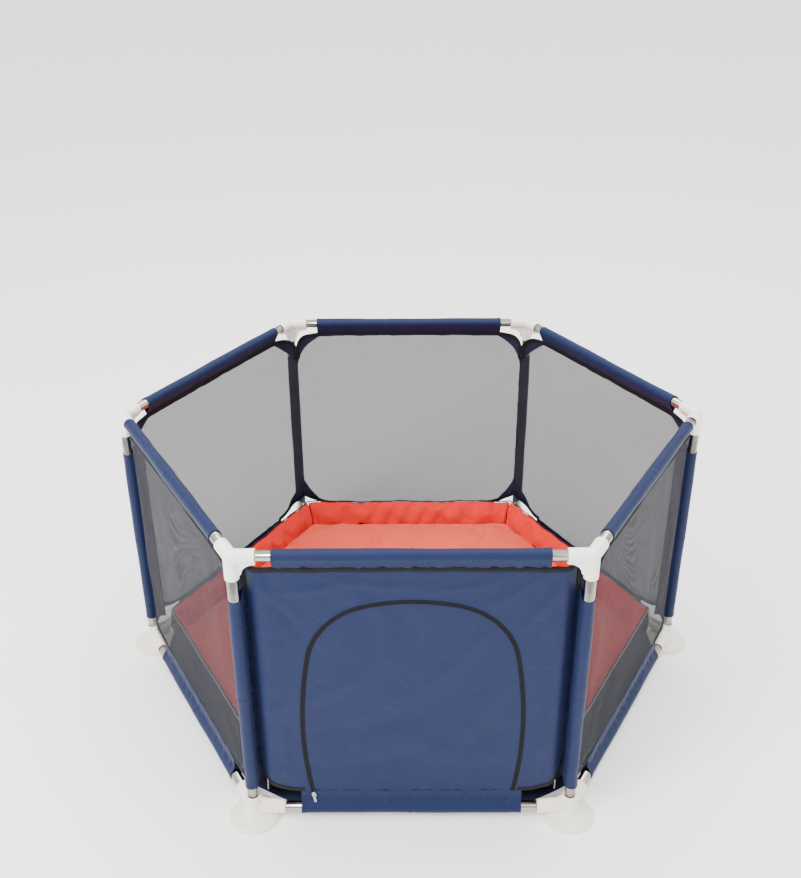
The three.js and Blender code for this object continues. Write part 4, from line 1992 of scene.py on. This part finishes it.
@dataclass
class ZipSlider:
    """The die-cast slider and its pull, in place of the plain solids."""

    layout: Layout
    shop: Workshop
    arch: Arch
    parked: float = 63.5 * MM
    proud: float = 3.85 * MM
    front_thick: float = 1.9 * MM
    rear_thick: float = 1.4 * MM
    tab_thick: float = 1.2 * MM

    def lean(self) -> float:
        """Return how far the zip's line leans at the parked slider."""
        return math.asin((self.arch.widest - self.parked) / self.arch.side_radius)

    def place(self, depth: float) -> Matrix:
        """Find the parked slider's place.

        Args:
            depth: Its place along Y.

        Returns:
            The place, leaning with the zip's line.
        """
        x = self.arch.centre - self.arch.half + self.arch.side_radius
        x -= self.arch.side_radius * math.cos(self.lean())
        turn = Matrix.Rotation(-self.lean(), 4, "Y")
        return Matrix.Translation((x, depth, self.parked)) @ turn

    def plate(self, name: str, thickness: float) -> Piece:
        """Model one of the slider's plates: broad shoulders that narrow to a tail.

        Args:
            name: Name of the plate.
            thickness: Its thickness.

        Returns:
            The plate.
        """
        outline = [(-4.4, -3), (-3.2, -6.2), (3.2, -6.2), (4.4, -3), (4.4, 2.5), (3, 6), (0, 6.6),
                   (-3, 6), (-4.4, 2.5)]
        places = [(x * MM, 0, z * MM) for x, z in outline]
        piece = Bench.slab(name, places, (0, thickness, 0))
        Bench.apply(piece, "BEVEL", width=0.5 * MM, segments=3)
        return piece

    def casting(self, front: float) -> Piece:
        """Model the slider: two plates on a neck, with a bridge for the pull.

        Args:
            front: Place of its front face along Y.

        Returns:
            The casting.
        """
        slider_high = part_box("zip_slider")[1]
        plates = [self.plate("front", self.front_thick), self.plate("rear", self.rear_thick)]
        rear = slider_high.y - front + 0.6 * MM
        plates[1].data.transform(Matrix.Translation((0, rear, 0)))
        neck = Bench.bar("neck", Vector((0, 1.2 * MM, 4.6 * MM)),
                         Vector((0, rear + 0.6 * MM, 4.6 * MM)), 0.7 * MM, 20)
        Bench.clear()
        bpy.ops.mesh.primitive_torus_add(major_segments=32, minor_segments=12,
                                         major_radius=2.3 * MM, minor_radius=0.62 * MM)
        bridge = bpy.context.object
        bridge.data.transform(Matrix.Translation((0, -0.4 * MM, 0)) @ Matrix.Rotation(
            math.pi / 2, 4, "Y"))
        slider = Bench.join("zip_slider_casting", [*plates, neck, bridge])
        slider.data.transform(self.place(front))
        return slider

    def tab(self, front: float) -> Piece:
        """Model the pull: a waisted tab with a hole for the bridge and one for a cord.

        Args:
            front: Place of the slider's front face along Y.

        Returns:
            The tab.
        """
        outline = [(-1.5, 1.3), (-2.6, -1), (-2.2, -8), (-2.7, -15), (-1.8, -17.8), (1.8, -17.8),
                   (2.7, -15), (2.2, -8), (2.6, -1), (1.5, 1.3)]
        tab = Bench.slab("tab", [(x * MM, -self.tab_thick / 2, z * MM) for x, z in outline],
                         (0, self.tab_thick, 0))
        for height, radius in ((-1.2, 1.35), (-14, 1.2)):
            Bench.carve(tab, Bench.bar("hole", Vector((0, -3 * MM, height * MM)),
                                       Vector((0, 3 * MM, height * MM)), radius * MM, 24),
                        "DIFFERENCE")
        Bench.apply(tab, "BEVEL", width=0.25 * MM, segments=2)
        tab.name = "zip_pull_tab"
        tab.data.transform(self.place(front - self.front_thick))
        return tab

    def build(self) -> None:
        """Build the slider and the pull."""
        front = -self.layout.apothem - self.proud
        for make, body in ((self.casting, "slider"), (self.tab, "pull")):
            piece = self.shop.dress(Bench.smooth(make(front)), NICKEL)
            self.shop.hand_over(piece, Slot.METAL, body, [f"zip_{body}"])


# ---- Mat ----


@dataclass
class Stuffing:
    """Fills a closed cloth shape by blowing it up between its pinned seams."""

    pressure: float
    slack: float
    cap: float
    frames: int = 20

    def fill(self, piece: Piece, pinned: Numbers) -> None:
        """Simulate the cloth and keep its last shape.

        Args:
            piece: The cloth, which keeps its pinned points.
            pinned: Whether each point is held.
        """
        before = Bench.places(piece)
        group = piece.vertex_groups.new(name="held")
        group.add([int(i) for i in np.flatnonzero(pinned)], 1.0, "REPLACE")
        modifier = piece.modifiers.new("cloth", "CLOTH")
        settings = modifier.settings
        settings.quality = 6
        settings.mass = 0.3
        settings.tension_stiffness = settings.compression_stiffness = 12
        settings.shear_stiffness = 4
        settings.bending_stiffness = 0.15
        settings.use_pressure = True
        settings.uniform_pressure_force = self.pressure
        settings.shrink_min = settings.shrink_max = -self.slack
        settings.vertex_group_mass = group.name
        settings.effector_weights.gravity = 0
        modifier.point_cache.frame_start = 1
        modifier.point_cache.frame_end = self.frames
        for step in range(1, self.frames + 1):
            bpy.context.scene.frame_set(step)
        shaped = piece.evaluated_get(bpy.context.evaluated_depsgraph_get())
        after = np.empty(len(before) * 3, np.float32)
        shaped.data.vertices.foreach_get("co", after)
        moved = after.reshape(-1, 3) - before
        length = np.linalg.norm(moved, axis=1, keepdims=True)
        moved *= np.minimum(1, self.cap / np.maximum(length, 1e-9))
        piece.modifiers.remove(modifier)
        bpy.context.scene.frame_set(1)
        LOG.info("%s filled, moved %.1f mm at most", piece.name, float(length.max()) / MM)
        Bench.reshape(piece, lambda at: at + moved)


@dataclass
class Mat:
    """The quilted mat: a flat pad with a hexagonal seam, and six raised edges."""

    layout: Layout
    shop: Workshop
    rings: int = 60
    seam_ring: int = 31
    pad_edge: float = 14 * MM
    pad_seam: float = 25 * MM
    crown: float = 8 * MM
    puff: float = 7 * MM
    spoke: float = 0.13
    wall: float = 25 * MM
    columns: int = 12
    rows: int = 92
    base: float = field(init=False)
    top: float = field(init=False)
    radius: float = field(init=False)
    apothem: float = field(init=False)
    inner: float = field(init=False)

    def __post_init__(self) -> None:
        """Read the mat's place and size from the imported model."""
        low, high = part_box("mat_bolster")
        self.base, self.top, self.radius = low.z, high.z, high.x
        self.apothem = self.radius * math.cos(TURN / 2)
        self.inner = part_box("mat_pad")[1].x

    def hex_distance(self, at: Numbers) -> Numbers:
        """Return how far out points are, as a share of the pad's half width."""
        return hexagon_reach(at[:, 0], at[:, 1]) / (self.inner * math.cos(TURN / 2))

    def pad_blank(self) -> Piece:
        """Model the pad's flat cloth: a hexagon in rings of small triangles.

        Returns:
            The cloth.
        """
        Bench.clear()
        bpy.ops.mesh.primitive_circle_add(vertices=SIDES, radius=self.inner, fill_type="TRIFAN",
                                          calc_uvs=True)
        piece = bpy.context.object
        piece.name = "mat_pad_cushion"
        piece.data.transform(Matrix.Rotation(TURN / 2, 4, "Z"))
        Bench.edit(piece)
        bpy.ops.mesh.subdivide(number_cuts=self.rings - 1)
        bpy.ops.object.mode_set(mode="OBJECT")
        return piece

    def close_below(self, piece: Piece) -> Piece:
        """Drop the pad's rim to the floor and close its underside.

        Args:
            piece: The pad's upper face.

        Returns:
            The same piece, closed.
        """
        Bench.edit(piece)
        bpy.ops.mesh.select_all(action="DESELECT")
        bpy.ops.mesh.select_mode(type="VERT")
        bpy.ops.mesh.select_non_manifold()
        bpy.ops.mesh.extrude_region_move()
        bpy.ops.transform.resize(value=(1, 1, 0), center_override=(0, 0, self.base))
        bpy.ops.mesh.edge_face_add()
        return Bench.heal(piece)

    def pad(self) -> None:
        """Model the pad: hold its cloth at the seams, fill it and close it."""
        piece = self.pad_blank()
        flat = Bench.places(piece)
        far = self.hex_distance(flat)
        seam = self.seam_ring / self.rings
        step = 1 / self.rings
        on_seam = abs(far - seam) < step / 4
        angle = np.arctan2(flat[:, 1], flat[:, 0])
        off_spoke = abs((angle / TURN + 0.5) % 1 - 0.5) * np.hypot(flat[:, 0], flat[:, 1]) * TURN
        on_spoke = (off_spoke < 2 * MM) & (far >= seam) & (far < seam + self.spoke)
        on_rim = far > 1 - step / 4

        def lift(at: Numbers) -> Numbers:
            """Give the pad its first, gently crowned shape.

            Args:
                at: Places on the flat pad.

            Returns:
                The same places, lifted.
            """
            inside = self.pad_seam + self.crown * (1 - (far / seam) ** 2)
            outside = self.pad_seam + (self.pad_edge - self.pad_seam) * (far - seam) / (1 - seam)
            puff = self.puff * np.sin(math.pi * np.clip((far - seam) / (1 - seam), 0, 1))
            waves = 1.2 * MM * np.sin(angle * 23 + far * 9) * ease(far, seam, seam + 0.2)
            waves = waves + 1.0 * MM * np.sin(at[:, 0] * 41 + at[:, 1] * 23)
            free = ~(on_seam | on_spoke | on_rim)
            height = np.where(far < seam, inside, outside + puff) + waves * free
            dip = 3 * MM * (far - seam) / self.spoke
            height = np.where(on_spoke & ~on_seam, self.pad_seam - dip, height)
            at[:, 2] = self.base + height
            return at

        Bench.reshape(piece, lift)
        Stuffing(pressure=3.0, slack=0.03, cap=14 * MM).fill(piece, on_seam | on_spoke | on_rim)
        self.close_below(Bench.apply(piece, "SUBSURF", levels=1, render_levels=1))
        Bench.unwrap(piece, Bench.places(piece)[:, :2])
        self.shop.dress(Bench.smooth(piece, 75), CORAL)
        self.shop.hand_over(piece, Slot.RED, "mat", ["mat_pad"])

    def edge_section(self) -> tuple[Numbers, Numbers]:
        """Draw a raised edge's section.

        Returns:
            Its distances from the centre, and its heights.
        """
        outer = self.apothem - 1.5 * MM
        height = self.top - self.base - 3 * MM
        up = np.linspace(0, 1, self.columns + 1)
        foot = outer - self.wall * 0.86
        face = np.stack([outer + 1.5 * MM * np.sin(math.pi * up), up * height], axis=1)
        down = up[::-1][1:]
        belly = 9 * MM * np.sin(math.pi * np.clip(down, 0, 1)) ** 0.8
        lean = outer - (outer - foot) * (1 - down) ** 0.55 - belly
        inner = np.stack([lean, 3 * MM + down * (height - 3 * MM)], axis=1)
        bottom = np.linspace(0, 1, 5)[1:, None]
        under = inner[-1] * (1 - bottom) + face[0] * bottom
        section = np.concatenate([face, inner, under])
        return section[:, 0], section[:, 1] + self.base

    @staticmethod
    def sag(share: Numbers) -> Numbers:
        """Return how far a raised edge's top seam wanders, along its length."""
        return 1.6 * MM * np.sin(share * 9.0 + 0.7) + 1.0 * MM * np.sin(share * 23.0)

    def edge_blank(self) -> Piece:
        """Loft one raised edge's cloth on the +X side, gathered at its seams.

        Returns:
            The closed cloth.
        """
        distance, height = self.edge_section()
        share = np.linspace(-1, 1, self.rows + 1)[:, None]
        along = share * distance[None, :] * math.tan(TURN / 2)
        column = np.arange(len(distance))
        is_inner = (column > self.columns) & (column < 2 * self.columns)
        gather = np.sin(along * 95 + 3 * np.sin(along * 13) + height * 60)
        gather = gather + 0.8 * np.sin(along * 51 - height * 85 + 1.0)
        strength = np.where(is_inner, 1.6 * MM, 0.0) * np.sin(
            math.pi * np.clip((height - self.base) / (self.top - self.base), 0, 1))
        ends = 1 - ease(abs(share), 0.94, 1.0)
        depth = distance[None, :] - gather * strength[None, :] * ends
        rise = ease(height, self.top - 30 * MM, self.top - 3 * MM)[None, :]
        z = height[None, :] + self.sag(share) * rise * ends
        points = np.stack([np.broadcast_to(depth, z.shape), along, z], axis=-1)
        width = float(np.hypot(np.diff(distance), np.diff(height)).sum())
        return Bench.loft("edge", points, (width, self.radius), closed=True)

    def edge(self) -> Piece:
        """Model one raised edge on the +X side: fill its cloth and colour its two faces.

        Returns:
            The edge, with its outside in material 0 and its inside in material 1.
        """
        piece = self.edge_blank()
        at = Bench.places(piece)
        top_line = (at[:, 2] > self.top - 8 * MM) & (at[:, 0] > self.apothem - 3.2 * MM)
        low_line = at[:, 2] < self.base + 4 * MM
        end_line = abs(at[:, 1]) > abs(at[:, 0]) * math.tan(TURN / 2) - 0.5 * MM
        Stuffing(pressure=7.0, slack=0.05, cap=9 * MM).fill(piece, top_line | low_line | end_line)
        for face in piece.data.polygons:
            sewn = face.normal.x > 0.2 or face.normal.z < -0.6 or abs(face.normal.y) > 0.7
            face.material_index = 0 if sewn else 1
        first = at[:, 0] > self.apothem - 2.2 * MM
        for face in piece.data.polygons:
            if face.normal.x > -0.2 and all(first[i] for i in face.vertices):
                face.material_index = 0
        Bench.apply(piece, "SUBSURF", levels=1, render_levels=1)
        return Bench.smooth(piece, 70)

    def cord(self, name: str, places: Numbers, radius: float, finish: Tape) -> Piece:
        """Sweep a round piping along a line of places.

        Args:
            name: Name of the new piece.
            places: The line.
            radius: Radius of the piping.
            finish: Its finish.

        Returns:
            The piping.
        """
        way = np.gradient(places, axis=0)
        way /= np.linalg.norm(way, axis=1, keepdims=True)
        helper = np.array([0.0, 0.0, 1.0]) if abs(way[:, 2]).mean() < 0.7 else np.array([1.0, 0, 0])
        side = np.cross(way, helper)
        side /= np.linalg.norm(side, axis=1, keepdims=True)
        up = np.cross(side, way)
        turn = np.linspace(0, math.tau, 11)
        turn[-1] = 0.0
        ring = (side[:, None] * np.cos(turn)[None, :, None]
                + up[:, None] * np.sin(turn)[None, :, None])
        points = places[:, None] + ring * radius
        piece = Bench.loft(name, points, (math.tau * radius, path_length(places)), closed=True)
        return self.shop.hand_over(self.shop.dress(piece, finish), Slot.PIPING, "mat")

    def edges(self) -> None:
        """Copy the raised edge to the six sides, and pipe its seams."""
        edge = self.edge()
        share = np.linspace(-1, 1, 121)
        sag = self.sag(share) * (1 - ease(abs(share), 0.94, 1.0))
        for index, side in enumerate(SIDE_NAMES):
            turn = side_turn(index) @ Matrix.Rotation(-math.pi / 2, 4, "Z")
            piece = Bench.copy(edge, f"mat_edge_{side}_cushion", turn)
            self.shop.dress(piece, CARBON, SCARLET)
            self.shop.hand_over(piece, Slot.BLACK, "mat", ["mat_bolster"])
            for kind, finish, away, drop, thick in (("pale", CORD_PALE, 0.4, 4.0, 1.1),
                                                    ("dark", CORD_DARK, -2.6, 1.6, 1.7)):
                reach = self.apothem + away * MM
                height = self.top - drop * MM + sag
                line = np.stack([np.full_like(share, reach), share * reach * math.tan(TURN / 2),
                                 height], axis=1)
                line[:, 0] += 0.5 * MM * np.sin(share * 61)
                spot = np.array(turn.to_3x3())
                self.cord(f"mat_piping_{kind}_{side}", line @ spot.T, thick * MM, finish)
        for index, corner in enumerate(CORNER_NAMES):
            t = np.linspace(0, 1, 40)
            lean = 1.2 * MM * np.sin(t * 7 + index) * np.sin(math.pi * t)
            line = np.stack([np.full_like(t, self.radius + 0.2 * MM), lean,
                             self.base + 3 * MM + t * (self.top - self.base - 8 * MM)], axis=1)
            spot = np.array(Matrix.Rotation(FIRST_CORNER + index * TURN, 3, "Z"))
            self.cord(f"mat_piping_corner_{corner}", line @ spot.T, 1.3 * MM, CORD_PALE)
        bpy.data.objects.remove(edge)

    def build(self) -> None:
        """Build the pad and its raised edges."""
        self.pad()
        self.edges()


# ---- Studio ----


@dataclass(frozen=True)
class Lamp:
    """A soft square light: where it hangs, what it faces, its sides and its power in watts."""

    name: str
    place: Point
    target: Point
    size: float
    power: float

    def hang(self) -> None:
        """Add the light to the scene."""
        data = bpy.data.lights.new(self.name, "AREA")
        data.size, data.energy = self.size, self.power
        lamp = bpy.data.objects.new(self.name, data)
        lamp.location = self.place
        way = Vector(self.target) - Vector(self.place)
        lamp.rotation_euler = way.to_track_quat("-Z", "Y").to_euler()
        bpy.context.scene.collection.objects.link(lamp)


LAMPS = (
    Lamp("key", (-2.2, -2.2, 2.7), (0, 0, 0.3), 1.2, 150),
    Lamp("top", (0.4, 0.6, 5.5), (0, 0, 0.3), 3.6, 290),
    Lamp("fill", (2.6, -1.8, 1.6), (0, 0, 0.4), 1.4, 14),
)


@dataclass
class Studio:
    """The camera, the soft lights and the pale floor."""

    shop: Workshop
    eye: tuple[float, float, float] = (-0.010, -2.119, 1.709)
    pitch: float = 27.87
    yaw: float = 0.30
    roll: float = -0.32
    lens: float = 42.86
    sky_low: float = 0.9
    sky_high: float = 2.1
    sky_reach: float = 0.75
    floor_side: float = 90.0

    def camera(self) -> None:
        """Place the camera."""
        data = bpy.data.cameras.new("camera")
        data.lens = self.lens
        data.sensor_width = 36
        camera = bpy.data.objects.new("camera", data)
        bpy.context.scene.collection.objects.link(camera)
        turn = (Matrix.Rotation(math.radians(self.yaw), 4, "Z")
                @ Matrix.Rotation(math.radians(90 - self.pitch), 4, "X")
                @ Matrix.Rotation(math.radians(self.roll), 4, "Z"))
        camera.matrix_world = Matrix.Translation(self.eye) @ turn
        bpy.context.scene.camera = camera

    def sky(self) -> None:
        """Light the scene from all round, more from above."""
        world = bpy.data.worlds.new("studio")
        world.use_nodes = True
        tree = world.node_tree
        back = tree.nodes["Background"]
        back.inputs["Color"].default_value = (1.0, 1.0, 1.0, 1.0)
        way = tree.nodes.new("ShaderNodeTexCoord")
        apart = tree.nodes.new("ShaderNodeSeparateXYZ")
        rise = tree.nodes.new("ShaderNodeMapRange")
        rise.interpolation_type = "SMOOTHSTEP"
        for socket, value in (("From Max", self.sky_reach), ("To Min", self.sky_low),
                              ("To Max", self.sky_high)):
            rise.inputs[socket].default_value = value
        tree.links.new(way.outputs["Generated"], apart.inputs[0])
        tree.links.new(apart.outputs["Z"], rise.inputs["Value"])
        tree.links.new(rise.outputs["Result"], back.inputs["Strength"])
        bpy.context.scene.world = world

    def build(self) -> None:
        """Build the whole studio."""
        self.camera()
        self.sky()
        for lamp in LAMPS:
            lamp.hang()
        Bench.clear()
        bpy.ops.mesh.primitive_grid_add(x_subdivisions=8, y_subdivisions=8, size=self.floor_side)
        floor = bpy.context.object
        floor.name = "studio_floor"
        floor.data.transform(Matrix.Translation((0, 0, -0.1 * MM)))
        self.shop.dress(floor, PAPER)


def main() -> None:
    """Build the studio and every piece of the pen, and log what was made."""
    logging.basicConfig(level=logging.INFO, format="%(name)s: %(message)s")
    layout = Layout.read()
    shop = Workshop()
    arch = Arch()
    Studio(shop).build()
    Mat(layout, shop).build()
    Tubes(layout, shop).build()
    Corners(layout, shop).build()
    Cover(layout, shop, Sleeves(layout, shop), arch).build()
    ZipSlider(layout, shop, arch).build()
    LOG.info("%d pieces", shop.count)


if __name__ == "__main__":
    main()
